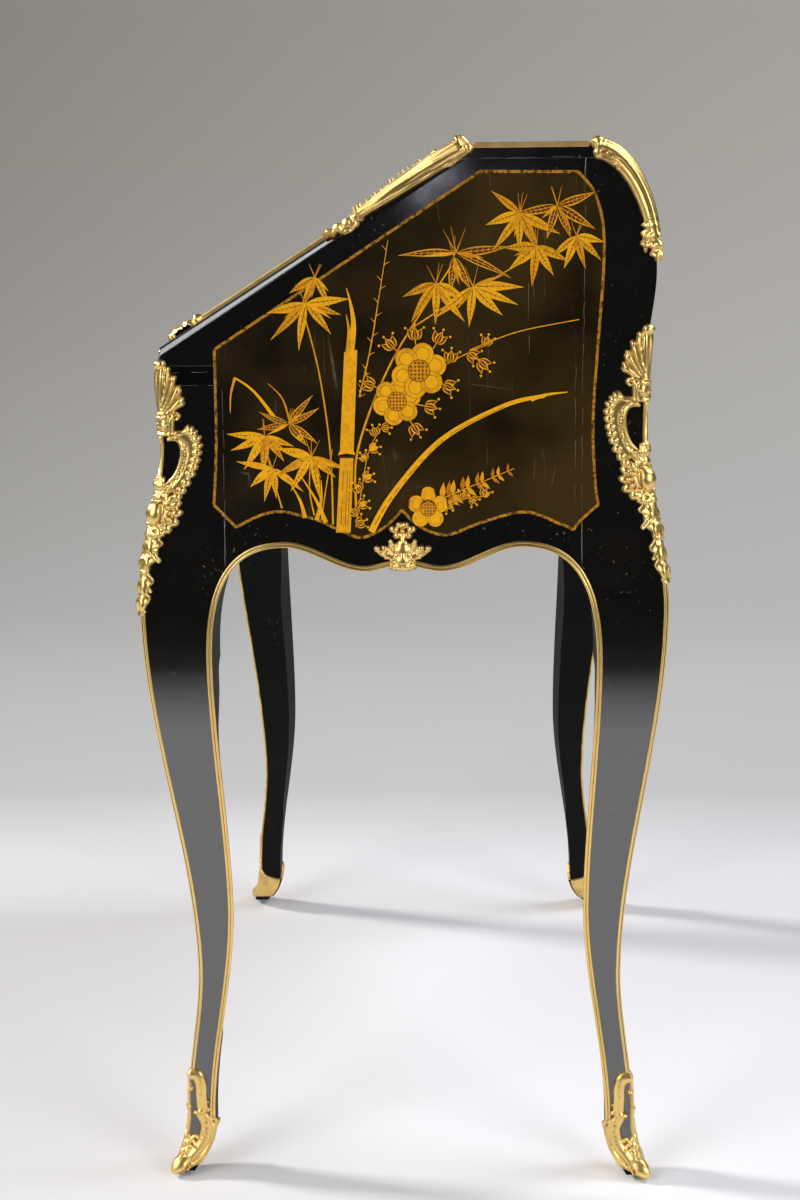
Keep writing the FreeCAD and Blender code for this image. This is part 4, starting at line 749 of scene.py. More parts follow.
def sabotField(u, v):
    u = np.abs(u)
    sole = np.interp(u, [0, 5, 12, 20, 25, 50], [-101.5, -101.5, -98.5, -94, -92, -92])
    shoeTop = np.where(u < 24, -76, np.interp(u, [24, 30, 50], [-50, -58, -64]))
    shoe = np.where(v < shoeTop, np.where(u < 24, 2.2, 2.0), 0)
    upper = [(1, -6), (7, -8), (10.5, -16), (11.5, -28), (13, -41)]
    lower = [(11.5, -46), (16, -54), (17, -63), (16, -74), (11, -85)]
    rows = [
        (rod, upper, 5.6, 5.8, 0.62), (lobeRow, upper, 17, 4.6, 0.9, 4.0),
        (rod, [(x + 4.6, y) for x, y in upper[1:]], 1.2, 1.0, 3.2),
        (dome, (1.0, -6), 3.6, 4, 4.6), (dome, (1.5, -20.5), 2.4, 2.6, 3.6),
        (dome, (11.5, -42.5), 5.2, 3.4, 5.0), (dome, (18, -41), 3.2, 2.4, 3.8),
        (dome, (6.6, -44), 3.0, 2.2, 3.8), (dome, (18.4, -33), 1.7, 1.7, 2.8),
        (rod, lower, 5.6, 7.2, 0.6), (lobeRow, lower[1:], 15, 5.4, 1.0, 4.4),
        (rod, [(20.5, -48), (22.5, -58), (23, -70), (22, -84)], 1.5, 1.5, 2.4),
        (rod, [(11, -77), (7.5, -73), (5, -69.5), (7.5, -66.5), (9.5, -69)], 1.9, 1.5, 2.2),
        (rod, [(0, -16), (0, -46), (0, -68)], 1.3, 1.6, 1.6), (dome, (0, -39), 2.2, 2.4, 3.2),
        (leaf, (0, -66), (2, -92), 6.5, 4.6, 0.06, 4), (leaf, (3, -78), (13, -92), 4.6, 4.2, 0.1, 3),
        (scallop, (0, -84), 19, -96, -24, 4, 7.0), (dome, (0, -93), 11.0, 9.0, 9.0),
        (rod, [(14, -97), (12.5, -90), (7, -85), (1.5, -86)], 1.8, 1.5, 2.6),
        (rod, [(21, -85), (17, -91), (11, -91), (9.5, -87), (13, -84.5)], 2.2, 1.6, 2.2),
        (rod, [(24, -50), (30, -58), (40, -62), (50, -64)], 2.0, 1.8, 1.6)]
    return np.where(v > sole, np.maximum(carve(u, v, rows), shoe), 0)


for place, sideY, hand, sideX in corners:
    x, y, z = sabotShape["inside"]
    castMount("sabot_mount_%s_%s" % (place, hand), sabotShape["box"], sabotShape["step"], sabotField,
              footLay(sideX, sideY), (sideX * x, sideY * y, z), "sabot_%s_%s" % (place, hand))
print("sabots cast")


# clasps on the ends of the slope and on the back shoulders: reeded bodies, a scroll above and a leaf below
claspShape = {"step": 0.7, "edge": 0.3195, "bend": 0.003, "crest": (0.05527, 0.941),
              "slope": math.radians(32.0), "inside": (0.29, 0.08, 0.80),
              "shoulder": [(0.160, 0.941), (0.18585, 0.941), (0.2145, 0.9019), (0.2145, 0.838)]}


def slopePath(v):
    lean = claspShape["slope"]
    y, z = claspShape["crest"]
    return y + v * math.cos(lean), z + v * math.sin(lean), -math.sin(lean), math.cos(lean)


def shoulderPath(v):
    curve = bezier(claspShape["shoulder"], 200)
    run = np.gradient(curve, axis=0)
    size = np.hypot(run[:, 0], run[:, 1])
    length = np.concatenate([[0], np.cumsum(np.hypot(*np.diff(curve, axis=0).T))])
    values = (curve[:, 0], curve[:, 1], -run[:, 1] / size, run[:, 0] / size)
    y, z, ny, nz = (np.interp(-v, length, value) for value in values)
    return y + np.minimum(-v, 0), z, ny, nz


def edgeLay(sideX, path):
    # wraps a drawing round the edge of an end: u > 0 on the end, v along a path with its place and its normal
    def lay(u, v, w):
        y, z, ny, nz = path(v)
        turn = np.clip((u / claspShape["bend"] + 1) / 2, 0, 1) * math.pi / 2
        x = claspShape["edge"] + np.minimum(u, 0) + w * np.sin(turn)
        out = w * np.cos(turn) - np.maximum(u, 0)
        return np.stack([sideX * x, y + out * ny, z + out * nz], axis=1)
    return lay


def reededBody(u, v, low, high, middle, halves, rise):
    # a long convex body, wider at the top, with reeds worked along it
    across = (u - middle) / np.interp(v, [low, high], halves)
    reeds = 0.80 + 0.20 * np.cos(2 * np.pi * across * 3.5)
    body = rise * np.sqrt(np.clip(1 - np.abs(across) ** 3, 0, None)) * reeds
    return np.where((v > low) & (v < high), body, 0)


def slopeClaspField(u, v):
    swell = np.interp(v, [-138, -112, -70, -30, -6, 4], [0.35, 0.55, 0.95, 1.15, 1.0, 0.6])
    return carve(u, v, [
        (reededBody, -112, -2, -4.5, (6.5, 11.0), 10.0 * swell),
        (lobeRow, [(-12, -38), (-12, -52), (-12, -68)], 8, 2.6, 2.0, 13.0),
        (lobeRow, [(-12, -66), (-11, -86), (-10, -106)], 10, 2.6, 2.0, 10.5),
        (leaf, (-3, -98), (-2, -139), 7.5, 6.0, 0.03, 5), (leaf, (-1, -106), (5.0, -124), 4.2, 4.6, 0.12, 3),
        (leaf, (-7, -108), (-13, -124), 3.6, 4.0, -0.12, 3),
        (dome, (-12, 0), 4, 4.5, 11, 20), (dome, (-5, -3), 5, 4.5, 13, -20), (dome, (3, 1), 3.5, 4.5, 6),
        (leaf, (-8, -2), (-12, -30), 4.2, 12.0, 0.1, 3), (leaf, (0, -2), (4, -26), 4.0, 6.5, 0.1, 3)])


def backClaspField(u, v):
    swell = np.interp(v, [-122, -96, -50, -20, -4, 3], [0.5, 0.75, 0.9, 1.05, 1.0, 0.6])
    return carve(u, v, [
        (reededBody, -100, -3, -2.0, (9.0, 13.0), 7.0 * swell),
        (leaf, (1, -80), (0, -118), 9.5, 6.4, 0.03, 5), (leaf, (4, -88), (9, -110), 4.6, 4.8, 0.10, 3),
        (leaf, (-8, -88), (-13, -108), 4.0, 4.4, -0.10, 3),
        (dome, (-10, -3), 5, 5.5, 7.5, 20), (dome, (-2, -4), 5, 6, 8.5, -15), (dome, (6, -5), 5, 5, 6),
        (leaf, (4, -2), (9, -32), 5.0, 6.4, -0.12, 4), (leaf, (-8, -4), (-13, -40), 4.8, 7.0, 0.1, 4)])


for name, box, field, path in (("slope_clasp", ((-17.5, -141), (7, 6)), slopeClaspField, slopePath),
                               ("back_clasp", ((-17.5, -119), (13.5, 5)), backClaspField, shoulderPath)):
    for hand, sideX in hands:
        x, y, z = claspShape["inside"]
        castMount("%s_mount_%s" % (name, hand), box, claspShape["step"], field, edgeLay(sideX, path),
                  (sideX * x, y, z), name + "s")
print("clasps cast")


# apron cartouches: a shell between two scrolled leaves, one in the middle of each face
cartoucheShape = {"step": 0.7, "middle": 0.594, "box": ((-29, -9), (29, 35)), "inside": (0, 0, 0.6)}


def faceLay(kind, sign, height):
    # u across a face as one looks at it, v up from a height
    inset = backInset if kind == "back" else legInset

    def lay(u, v, w):
        z = height + v
        out, up = w - inset(z), z + w * slopeOf(inset, z)
        if kind == "end":
            return np.stack([sign * (legShape["halfWidth"] + out), sign * u, up], axis=1)
        return np.stack([-sign * u, sign * (legShape["halfDepth"] + out), up], axis=1)
    return lay


def cartoucheField(u, v):
    return carve(np.abs(u), v, [
        (dome, (2.2, 31), 3.8, 3.2, 4.6, 20), (dome, (7.6, 27.5), 4.4, 3.4, 4.6, 15),
        (dome, (4.6, 22.5), 3.8, 3.0, 4.4, -30), (dome, (0, 26), 2.6, 2.6, 6.6),
        (rod, [(0, 4), (0, 14), (0, 22)], 3.6, 2.4, 1.6),
        (leaf, (0, 2), (11, 19), 6.4, 5.0, -0.10, 3), (leaf, (2, 2), (18, 10), 5.4, 4.6, -0.08, 3),
        (rod, [(8, 4), (14, 5.5), (19, 7.5), (22.5, 11)], 2.6, 1.8, 1.8),
        (dome, (22.0, 11.0), 3.0, 3.2, 4.6), (dome, (15.5, 11.5), 3.4, 2.8, 4.4, 30),
        (dome, (0, 11), 7.0, 8.5, 5.6), (dome, (0, 1), 7.5, 5.5, 5.6), (dome, (0, -3.5), 11.5, 4.0, 4.4),
        (lobeRow, [(0, -4), (6, -3.6), (10, -2.4)], 4, 3.4, 1.4, 5.0)])


for name, sign in hands + longFaces:
    lay = faceLay("end" if (name, sign) in hands else name, sign, cartoucheShape["middle"])
    castMount("apron_shell_" + name, cartoucheShape["box"], cartoucheShape["step"], cartoucheField, lay,
              cartoucheShape["inside"], "apron_cartouches")
print("cartouches cast")


# bronzes on the fall: corner leaves and a beaded escutcheon
fallShape = {"hinge": (-0.201, 0.762), "slope": math.radians(32.0), "thick": 0.016, "step": 0.8,
             "corner": (0.287, 0.014), "plate": 0.2400, "inside": (0, 0.1, 0.7)}


def fallLay(u, v, w):
    # u along the width, v up the slope from the hinge line, w out of the closed fall
    along, up = math.cos(fallShape["slope"]), math.sin(fallShape["slope"])
    y, z = fallShape["hinge"]
    out = fallShape["thick"] + w
    return np.stack([u, y + v * along - out * up, z + v * up + out * along], axis=1)


def cornerLeafField(u, v):
    # drawn for a right-hand corner at the origin: leaves run inwards and up
    return carve(u, v, [
        (leaf, (-1, 1), (-20, 26), 8.0, 5.4, 0.0, 5), (leaf, (-2, 2), (-34, 7), 6.0, 3.7, 0.12, 5),
        (leaf, (-2, -2), (-6, 30), 6.0, 6.8, -0.08, 4),
        (dome, (-4, 4), 6, 6, 7.0), (dome, (-3, -2.5), 4.5, 3.5, 5.5),
        (dome, (-3, 14), 4, 5, 7.5), (dome, (-10, -2.5), 4, 3.3, 4.6),
        (rod, [(-36, 2), (-18, 1.5), (-1.5, 1.5), (-1.5, 18), (-2, 36)], 2.2, 2.2, 1.6)])


def layCorner(sideX):
    x, y = fallShape["corner"]

    def lay(u, v, w):
        return fallLay(sideX * (x + u), y + v, w)
    return lay


def escutcheonField(u, v):
    u = np.abs(u)
    rim = [(0, -33), (9, -28), (17, -14), (19, 2), (14, 16), (7, 24), (0, 31)]
    keyhole = (np.hypot(u, v - 14) < 2.6) | ((u < 1.2) & (v < 14) & (v > 5))
    rows = [
        (dome, (0, -1), 18, 31, 2.6), (rod, rim, 2.0, 2.0, 1.9),
        (beadRow, [(x * 0.80, y * 0.84) for x, y in rim], 22, 1.3, 4.2),
        (leaf, (1, -31), (13, -24), 4.2, 4.6, 0.15, 3), (leaf, (2, 22), (13, 28), 4.4, 4.6, 0.15, 3),
        (scallop, (0, 20), 14, 40, 140, 5, 4.8),
        (leaf, (1, -6), (9, -18), 4.0, 4.4, 0.1, 3), (leaf, (0.5, -6), (1, -26), 4.0, 4.6, 0.05, 3)]
    return np.where(keyhole, 0, carve(u, v, rows))


def layPlate(u, v, w):
    return fallLay(u, fallShape["plate"] + v, w)


for hand, sideX in hands:
    castMount("fall_corner_leaf_" + hand, ((-39, -6.4), (2, 39)), fallShape["step"], cornerLeafField,
              layCorner(sideX), fallShape["inside"], "fall_corner_mounts", "fall_front")
castMount("lock_escutcheon", ((-21, -36), (21, 36)), fallShape["step"], escutcheonField, layPlate,
          fallShape["inside"], "fall_escutcheon", "fall_front")
print("fall bronzes cast")


# lacquer painting: flat shapes in millimetres, laid on a face a hair above it; each shape is an outline, the
# number of its material and a tone
sheetShape = {"rise": 0.0012, "ground": 0.25, "border": 0.36, "picture": 0.40, "cracks": 0.5, "line": 2.4}


def paintSheet(name, shapes, lay, materials, lift, cuts=(), body="case",
               behind=(0, 0, 0.7)):
    # later shapes lie higher; cuts are heights where the face bends
    points, faces, lifts = [], [], []
    for k, (outline, number, tone) in enumerate(shapes):
        faces.append(list(range(len(points), len(points) + len(outline))))
        points += [(p[0] / 1000, p[1] / 1000, 0) for p in outline]
        lifts += [lift + k * sheetShape["rise"]] * len(outline)
    piece = newPiece(name, points, faces)
    mesh = piece.data
    for material in materials:
        mesh.materials.append(material)
    mesh.polygons.foreach_set("material_index", [number for outline, number, tone in shapes])
    tones = mesh.attributes.new("tone", "FLOAT", "FACE")
    tones.data.foreach_set("value", [tone for outline, number, tone in shapes])
    order = mesh.attributes.new("order", "FLOAT", "POINT")
    order.data.foreach_set("value", lifts)
    bpy.ops.object.mode_set(mode="EDIT")
    for height in cuts:
        bpy.ops.mesh.select_all(action="SELECT")
        bpy.ops.mesh.bisect(plane_co=(0, height, 0), plane_no=(0, 1, 0))
    bpy.ops.mesh.select_all(action="SELECT")
    bpy.ops.mesh.quads_convert_to_tris()
    bpy.ops.object.mode_set(mode="OBJECT")
    flat = np.array([v.co for v in mesh.vertices])
    up = np.array([d.value for d in mesh.attributes["order"].data]) / 1000
    laid = lay(flat[:, 0], flat[:, 1], up)
    mesh.vertices.foreach_set("co", np.ascontiguousarray(laid, np.float32).ravel())
    mesh.update()
    faceOut(piece, Vector(behind))
    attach(piece, body)


def paintPanel(field, sections, picture, shapes, lay, cuts, body="case"):
    # ground, border line and picture of one painted field
    rim = [p for section in sections for p in smoothLine(section, 8)[:-1]]
    border = [stroke(section, sheetShape["line"], sheetShape["line"], 0, 0, 8) for section in sections]
    paintSheet(field + "_ground", [(rim, 0, 0)], lay, [panelGround], sheetShape["ground"], cuts, body)
    paintSheet(field + "_border", border, lay, [borderGold], sheetShape["border"], cuts, body)
    paintSheet(picture, shapes, lay, [goldLacquer, redLacquer], sheetShape["picture"], cuts, body)


def stroke(points, wide, thin, tone=0.3, number=0, steps=6):
    # a brush stroke of even or tapering width
    line = smoothLine(points, steps)
    run = np.gradient(line, axis=0)
    size = np.maximum(np.hypot(run[:, 0], run[:, 1]), 1e-6)
    half = (wide + (thin - wide) * np.linspace(0, 1, len(line))) / 2
    side = np.stack([-run[:, 1] / size, run[:, 0] / size], axis=1) * half[:, None]
    return [*(line + side), *(line - side)[::-1]], number, tone


def polar(centre, angle, reach):
    return centre[0] + math.cos(angle) * reach, centre[1] + math.sin(angle) * reach


def onBlade(base, angle, length, bend, t, half=0.0):
    # a place along a bent blade, or beside its midrib
    a = math.radians(angle)
    off = half + bend * length * t * t
    return (base[0] + math.cos(a) * length * t - math.sin(a) * off,
            base[1] + math.sin(a) * length * t + math.cos(a) * off)


def blade(base, angle, length, width, bend=0.0, tone=0.0, number=0):
    # a long pointed leaf
    outline = []
    for way, shares in ((1, np.linspace(0, 1, 9)), (-1, np.linspace(1, 0, 9)[1:-1])):
        for t in shares:
            half = width / 2 * math.sin(math.pi * t ** 0.72) ** 1.15 * way
            outline.append(onBlade(base, angle, length, bend, t, half))
    return outline, number, tone


def disc(centre, radius, tone=0.0, number=1, sides=14):
    turns = np.linspace(0, 2 * math.pi, sides, endpoint=False)
    return [polar(centre, turn, radius) for turn in turns], number, tone


# shares of a spray's length and width, angles in degrees, those of veins in radians; a vein has a material,
# a reach and a width
sprayShape = {"reach": (0.85, 1.2), "bend": (-0.10, 0.10), "sway": (-6, 6), "wide": (0.64, 0.90),
              "tone": (0.0, 0.45), "gold edge": (0.95, 0.70), "midrib": (0.08, 0.5, 0.9),
              "veins": (0.25, 0.36, 0.47, 0.58, 0.69, 0.80), "vein turns": (0.8, -0.8),
              "dark vein": (0, 0.55, 0.55), "light vein": (1, 0.462, 0.35),
              "young": 2, "young turn": (12, 24), "young reach": (0.5, 0.8), "young wide": 0.36,
              "young tone": (0.1, 0.6), "tassel": 3, "tassel lean": (60, 120), "tassel reach": 0.5}


def leafSpray(rng, centre, angles, length, width, dark=False):
    # leaves that hang out of one bud, each with a midrib; dark ones are brown with a gold edge and gold veins
    shapes, look = [], sprayShape
    vein, veinReach, fine = look["dark vein" if dark else "light vein"]
    for angle in angles:
        reach = length * rng.uniform(*look["reach"])
        bend = rng.uniform(*look["bend"])
        turn = angle + rng.uniform(*look["sway"])
        wide = width * rng.uniform(*look["wide"])
        shapes.append(blade(centre, turn, reach, wide, bend, rng.uniform(*look["tone"])))
        if dark:
            shorter, narrower = look["gold edge"]
            shapes.append(blade(centre, turn, reach * shorter, wide * narrower, bend, 0, 1))
        midrib = [onBlade(centre, turn, reach, bend, t) for t in look["midrib"]]
        shapes.append(stroke(midrib, 0.7, 0.25, 0.3, vein, 3))
        for t in look["veins"]:
            spot = onBlade(centre, turn, reach, bend, t)
            half = wide * veinReach * math.sin(math.pi * t ** 0.75)
            for way in look["vein turns"]:
                tip = polar(spot, math.radians(turn) + way, half)
                shapes.append(stroke([spot, tip], fine, 0.2, 0.3, vein, 1))
    for k in range(look["young"]):
        # young blades between them
        turn = rng.choice(angles) + rng.uniform(*look["young turn"])
        reach = length * rng.uniform(*look["young reach"])
        bend = rng.uniform(*look["bend"])
        tone = rng.uniform(*look["young tone"])
        shapes.append(blade(centre, turn, reach, width * look["young wide"], bend, tone))
    for k in range(look["tassel"]):
        # a fine upright tassel at the bud
        lean = math.radians(rng.uniform(*look["tassel lean"]))
        tip = polar(centre, lean, length * look["tassel reach"])
        shapes.append(stroke([centre, tip], 0.9, 0.3, 0.5, 0, 2))
    return shapes


def cane(low, high, width):
    # jointed stem with a slanting cut at the top and two young blades
    joint = low[1] + (high[1] - low[1]) * 0.42
    lean = (high[0] - low[0]) / (high[1] - low[1])

    def at(height, share):
        return low[0] + lean * (height - low[1]) + width * share, height

    lower = [at(low[1], -0.5), at(low[1], 0.5), at(joint - 1.5, 0.46), at(joint - 1.5, -0.46)]
    upper = [at(joint + 1, -0.62), at(joint + 5, -0.48), at(high[1], -0.42), at(high[1] + 2, 0.46),
             at(joint + 5, 0.46), at(joint + 1, 0.6), at(joint + 2.5, 0)]
    shapes = [(lower, 0, 0.25), (upper, 0, 0.15)]
    for share in (-0.18, 0.1, 0.28):
        for start, stop in ((low[1] + 6, joint - 10), (joint + 14, high[1] - 8)):
            shapes.append(stroke([at(start, share), at(stop, share)], 0.5, 0.3, 0, 1, 2))
    shapes.append(stroke([at(joint, -0.55), at(joint - 1, 0), at(joint, 0.55)], 0.9, 0.9, 0, 1, 3))
    x, y = at(high[1], 0)
    shapes.append(stroke([(x, y), (x + 3, y + 22), (x + 1, y + 40), (x - 2.5, y + 54)], 6.5, 0.4, 0.05))
    shapes.append(stroke([(x - 2, y), (x - 1, y + 18), (x - 3, y + 32)], 4.5, 0.4, 0.35))
    return shapes


# shares of a blossom's radius; rim, arc and eye are each a red disc under a gold one
blossomShape = {"reach": 0.60, "turn": 0.3, "rim": (0.41, 0.395), "arc": (0.25, 0.235), "eye": (0.40, 0.37),
                "chequer": (0.135, 0.05)}


def blossom(centre, radius, petals=6):
    # round petals with fine red arcs and a chequered eye
    rim, arc, eye, (gap, speck) = ([radius * share for share in blossomShape[k]]
                                   for k in ("rim", "arc", "eye", "chequer"))
    shapes = []
    for k in range(petals):
        turn = 2 * math.pi * k / petals + blossomShape["turn"]
        petal = polar(centre, turn, radius * blossomShape["reach"])
        shapes += [disc(petal, rim[0]), disc(petal, rim[1], 0.1 + 0.1 * (k % 3), 0),
                   disc(petal, arc[0]), disc(petal, arc[1], 0.0, 0)]
    shapes += [disc(centre, eye[0], 0, 1, 20), disc(centre, eye[1], 0.45, 0, 20)]
    for k in range(-2, 3):
        for n in range(-2, 3):
            if k * k + n * n < 6:
                shapes.append(disc((centre[0] + k * gap, centre[1] + n * gap), speck, 0, 1, 4))
    return shapes


def floret(centre, angle, size):
    # a bud between two leaves with berries at its tips
    shapes = []
    for turn, tone in ((-34, 0.3), (34, 0.3), (0, 0.1)):
        shapes.append(blade(centre, angle + turn, size, size * 0.58, 0, tone))
        shapes.append(blade(centre, angle + turn, size * 0.92, size * 0.36, 0, 0, 1))
    shapes.append(stroke([centre, polar(centre, math.radians(angle), size * 0.8)], 0.8, 0.4, 0.2, 0, 2))
    for turn in (-38, 0, 38):
        shapes.append(disc(polar(centre, math.radians(angle + turn), size * 1.12), 1.1, 0.1, 0, 8))
    return shapes


def alongStem(points, count, start=0.5):
    # evenly spread places on a stem, with the way it runs there
    line = smoothLine(points, 8)
    for k in range(count):
        i = int((k + start) * (len(line) - 2) / count)
        run = line[i + 1] - line[i]
        yield k, tuple(line[i]), math.atan2(run[1], run[0])


def floretTwig(rng, points, count, size):
    shapes = [stroke(points, 1.1, 0.7, 0.4)]
    for k, spot, turn in alongStem(points, count, 0.6):
        away = math.degrees(turn) + (55 if k % 2 else -55)
        shapes += floret(spot, away, size * rng.uniform(0.85, 1.1))
    return shapes


def fernSprig(points, count, length):
    shapes = [stroke(points, 1.2, 0.6)]
    for k, spot, turn in alongStem(points, count):
        reach, tone = length * (1.0 - 0.55 * k / count), 0.25 + 0.5 * (k % 2)
        for side in (62, -62):
            shapes.append(blade(spot, math.degrees(turn) + side, reach, reach * 0.36, 0, tone))
    return shapes


def thornStem(points, count):
    shapes = [stroke(points, 1.4, 0.6, 0.35)]
    for k, spot, turn in alongStem(points, count):
        tip = polar(spot, turn + (0.9 if k % 2 else -0.9), 5.5)
        shapes.append(stroke([spot, tip], 0.9, 0.3, 0.35, 0, 1))
    return shapes


# the two ends: bamboo, thorn, blossoms and grasses in a shaped field
endField = {
    "sections": [
        [(-159, 776), (-160, 700), (-163, 643)], [(-163, 643), (-152, 632), (-144, 624)],
        [(-144, 624), (-123, 634), (-106, 637), (-89, 634), (-71, 629), (-54, 621), (-35, 615), (-15, 624),
         (-0.5, 638)],
        [(-0.5, 638), (15, 624), (38, 617), (67, 627), (105, 636), (135, 626), (147, 621)],
        [(147, 621), (153, 629), (168, 642)],
        [(168, 642), (165, 663), (163, 715), (166, 774), (170, 840), (169, 877), (161, 904), (148, 920)],
        [(148, 920), (67, 921)], [(67, 921), (-159, 776)]],
    "cuts": [0.60 + 0.008 * k for k in range(13)], "seeds": {"right": 5, "left": 11},
    "small blossom": (-4, 731), "large blossom": (15, 757)}


def endLay(sideX):
    def lay(u, v, w):
        return np.stack([sideX * (legShape["halfWidth"] - legInset(v) + w), u, v], axis=1)
    return lay


def bambooAbove(rng):
    return [
        stroke([(-60, 626), (-62, 690), (-70, 755), (-82, 806)], 1.6, 1.0),
        stroke([(-40, 640), (-38, 690), (-8, 765), (44, 846)], 2.2, 1.2, 0.25),
        stroke([(8, 792), (50, 818), (112, 852)], 1.4, 0.9, 0.35),
        *leafSpray(rng, (-72, 836), [205, 250, 300], 24, 7.5),
        *leafSpray(rng, (-80, 814), [190, 222, 250, 318, 342, 8], 37, 9.5),
        *leafSpray(rng, (47, 855), [172, 8, 335], 44, 9, True),
        *leafSpray(rng, (45, 852), [262, 292], 34, 9, True),
        *leafSpray(rng, (30, 830), [200, 232, 272, 300, 330], 34, 9.5),
        *leafSpray(rng, (61, 827), [216, 262, 312, 340, 4], 36, 9.5),
        *leafSpray(rng, (100, 887), [140, 190, 232, 268, 300, 330], 33, 9),
        *leafSpray(rng, (131, 893), [8, 200, 246, 290, 330], 32, 9, True),
        *leafSpray(rng, (114, 860), [185, 226, 262, 300, 335], 32, 9),
        *leafSpray(rng, (147, 868), [215, 255, 285, 320, 350], 25, 8),
        *thornStem([(-36, 735), (-26, 776), (-18, 820), (-10, 866)], 14)]


def bambooBelow(rng):
    return [
        stroke([(-104, 640), (-112, 668), (-119, 698)], 1.4, 0.9),
        stroke([(-76, 634), (-80, 655), (-79, 682)], 1.4, 0.9),
        stroke([(-70, 630), (-66, 656), (-60, 690)], 1.3, 0.8),
        stroke([(-108, 716), (-126, 740), (-142, 752)], 3.4, 1.2, 0.1),
        stroke([(-142, 752), (-146, 738), (-147, 722)], 2.6, 0.5),
        stroke([(-96, 714), (-102, 734), (-114, 747)], 2.0, 0.6, 0.5),
        *leafSpray(rng, (-97, 712), [20, 52, 335, 305, 190, 160], 28, 8, True),
        *leafSpray(rng, (-118, 702), [178, 212, 240, 275, 305, 340], 30, 8.5),
        *leafSpray(rng, (-112, 674), [175, 215, 250, 285, 330], 29, 8.5),
        *leafSpray(rng, (-78, 684), [170, 205, 240, 278, 315, 342], 32, 9),
        stroke([(-66, 628), (-75, 648), (-88, 668)], 4.0, 0.6, 0.15),
        stroke([(-84, 632), (-88, 646), (-96, 660)], 4.0, 0.6, 0.15),
        stroke([(-74, 630), (-70, 647), (-70, 664)], 4.0, 0.6, 0.15),
        *cane((-51, 619.5), (-43, 773), 12.6)]


def blossomsAndGrass(rng):
    small, large = endField["small blossom"], endField["large blossom"]
    shapes = [*floretTwig(rng, [(-40, 624), (-36, 650), (-28, 690), (-12, 716)], 9, 8.5),
              *floretTwig(rng, [(6, 742), (38, 762), (62, 774), (78, 780)], 4, 10)]
    for root, spot, turn in ((large, (-6, 776), 132), (large, (12, 783), 92), (large, (30, 780), 62),
                             (small, (-23, 744), 160), (small, (20, 727), -12), (small, (9, 711), -58),
                             (large, (36, 745), -22), ((57, 772), (66, 765), -45)):
        shapes += [stroke([root, spot], 1.3, 0.9, 0.4, 0, 2), *floret(spot, turn, 11.5)]
    return shapes + [
        stroke([(58, 774), (98, 789), (150, 799)], 1.0, 0.8),
        *blossom(small, 21), *blossom(large, 24),
        stroke([(-27, 620), (-8, 652), (34, 698), (88, 727), (122, 735)], 6.0, 3.0, 0.05, 0, 8),
        stroke([(110, 732), (124, 736), (141, 738)], 4.2, 0.6, 0.0),
        stroke([(-24, 626), (-4, 656), (38, 700), (88, 726)], 0.6, 0.4, 0, 1, 8),
        *fernSprig([(34, 648), (64, 660), (96, 673)], 10, 14),
        *floretTwig(rng, [(32, 644), (56, 648), (74, 650)], 4, 8), *blossom((22, 640), 18, 5)]


for hand, sideX in hands:
    rng = random.Random(endField["seeds"][hand])
    shapes = bambooAbove(rng) + bambooBelow(rng) + blossomsAndGrass(rng)
    paintPanel("end_" + hand, endField["sections"], "end_%s_picture" % hand, shapes, endLay(sideX),
               endField["cuts"])
print("ends painted")


# gilt fillets: two beads with a groove between them, along the apron edges, inner edges and outer arrises
beadShape = {"half": 0.0026, "rise": 0.0017, "inset": 0.002, "foot": 0.052, "thigh": 0.500,
             "bend": (0.580, 0.045), "steps": 26, "across": 17, "end": (0.228, 0.126, 0.195),
             "long": (0.3405, 0.150, 0.290), "crown": 0.607, "pendant": 0.5865, "centre": 0.592,
             "shin": 0.097, "below chute": 0.2185, "shin steps": 90, "inside": Vector((0, 0, 0.5))}


def levelEnded(start, stop, steps):
    run = (stop[0] - start[0]) / 3
    return bezier([start, (start[0] + run, start[1]), (stop[0] - run, stop[1]), stop], steps)


def archLine(half, crownIn, pendantIn):
    # from the foot up a leg's inner edge and along half of the apron, as (distance from the middle, height)
    grow, steps = beadShape["inset"], beadShape["steps"]
    z = np.linspace(beadShape["foot"], beadShape["thigh"], 3 * steps)
    leg = np.stack([innerInset(z) - grow, z], axis=1)
    crown, low, middle = (beadShape[k] + grow for k in ("crown", "pendant", "centre"))
    thigh = leg[-1]
    high, back = beadShape["bend"]
    arch = bezier([thigh, (thigh[0], high), (crownIn - back, crown), (crownIn, crown)], steps)
    dip = levelEnded((crownIn, crown), (pendantIn, low), steps)
    rise = levelEnded((pendantIn, low), (half, middle), steps)
    line = np.concatenate([leg, arch[1:], dip[1:], rise[1:]])
    return np.stack([half - line[:, 0], line[:, 1]], axis=1)


def beadStrip(name, lines, lay, covers):
    wide = beadShape["across"]
    across = np.linspace(-1, 1, wide)
    profile = 0.25 + 0.75 * np.sqrt(np.clip(1 - (2 * np.abs(across) - 1) ** 2, 0, None))
    profile[[0, -1]] = -0.4
    points, faces, relief = [], [], []
    for line in lines:
        run = np.gradient(line, axis=0)
        side = np.stack([-run[:, 1], run[:, 0]], axis=1) / np.hypot(run[:, 0], run[:, 1])[:, None]
        grid = line[:, None, :] + side[:, None, :] * (across * beadShape["half"])[None, :, None]
        up = np.tile(profile, len(line))
        for i in range(len(line) - 1):
            row = len(points) + i * wide
            faces += [(k, k + 1, k + wide + 1, k + wide) for k in range(row, row + wide - 1)]
        points += lay(grid[:, :, 0].ravel(), grid[:, :, 1].ravel(), up * beadShape["rise"]).tolist()
        # low relief in the groove and at the edges is painted shade there
        relief += np.clip(up * 1.5 - 0.5, 0, 1).tolist()
    piece = newPiece(name, points, faces)
    piece.data.attributes.new("relief", "FLOAT", "POINT").data.foreach_set("value", relief)
    bpy.ops.object.shade_smooth()
    faceOut(piece, beadShape["inside"])
    dress(piece, giltBronze, "case", [covers])


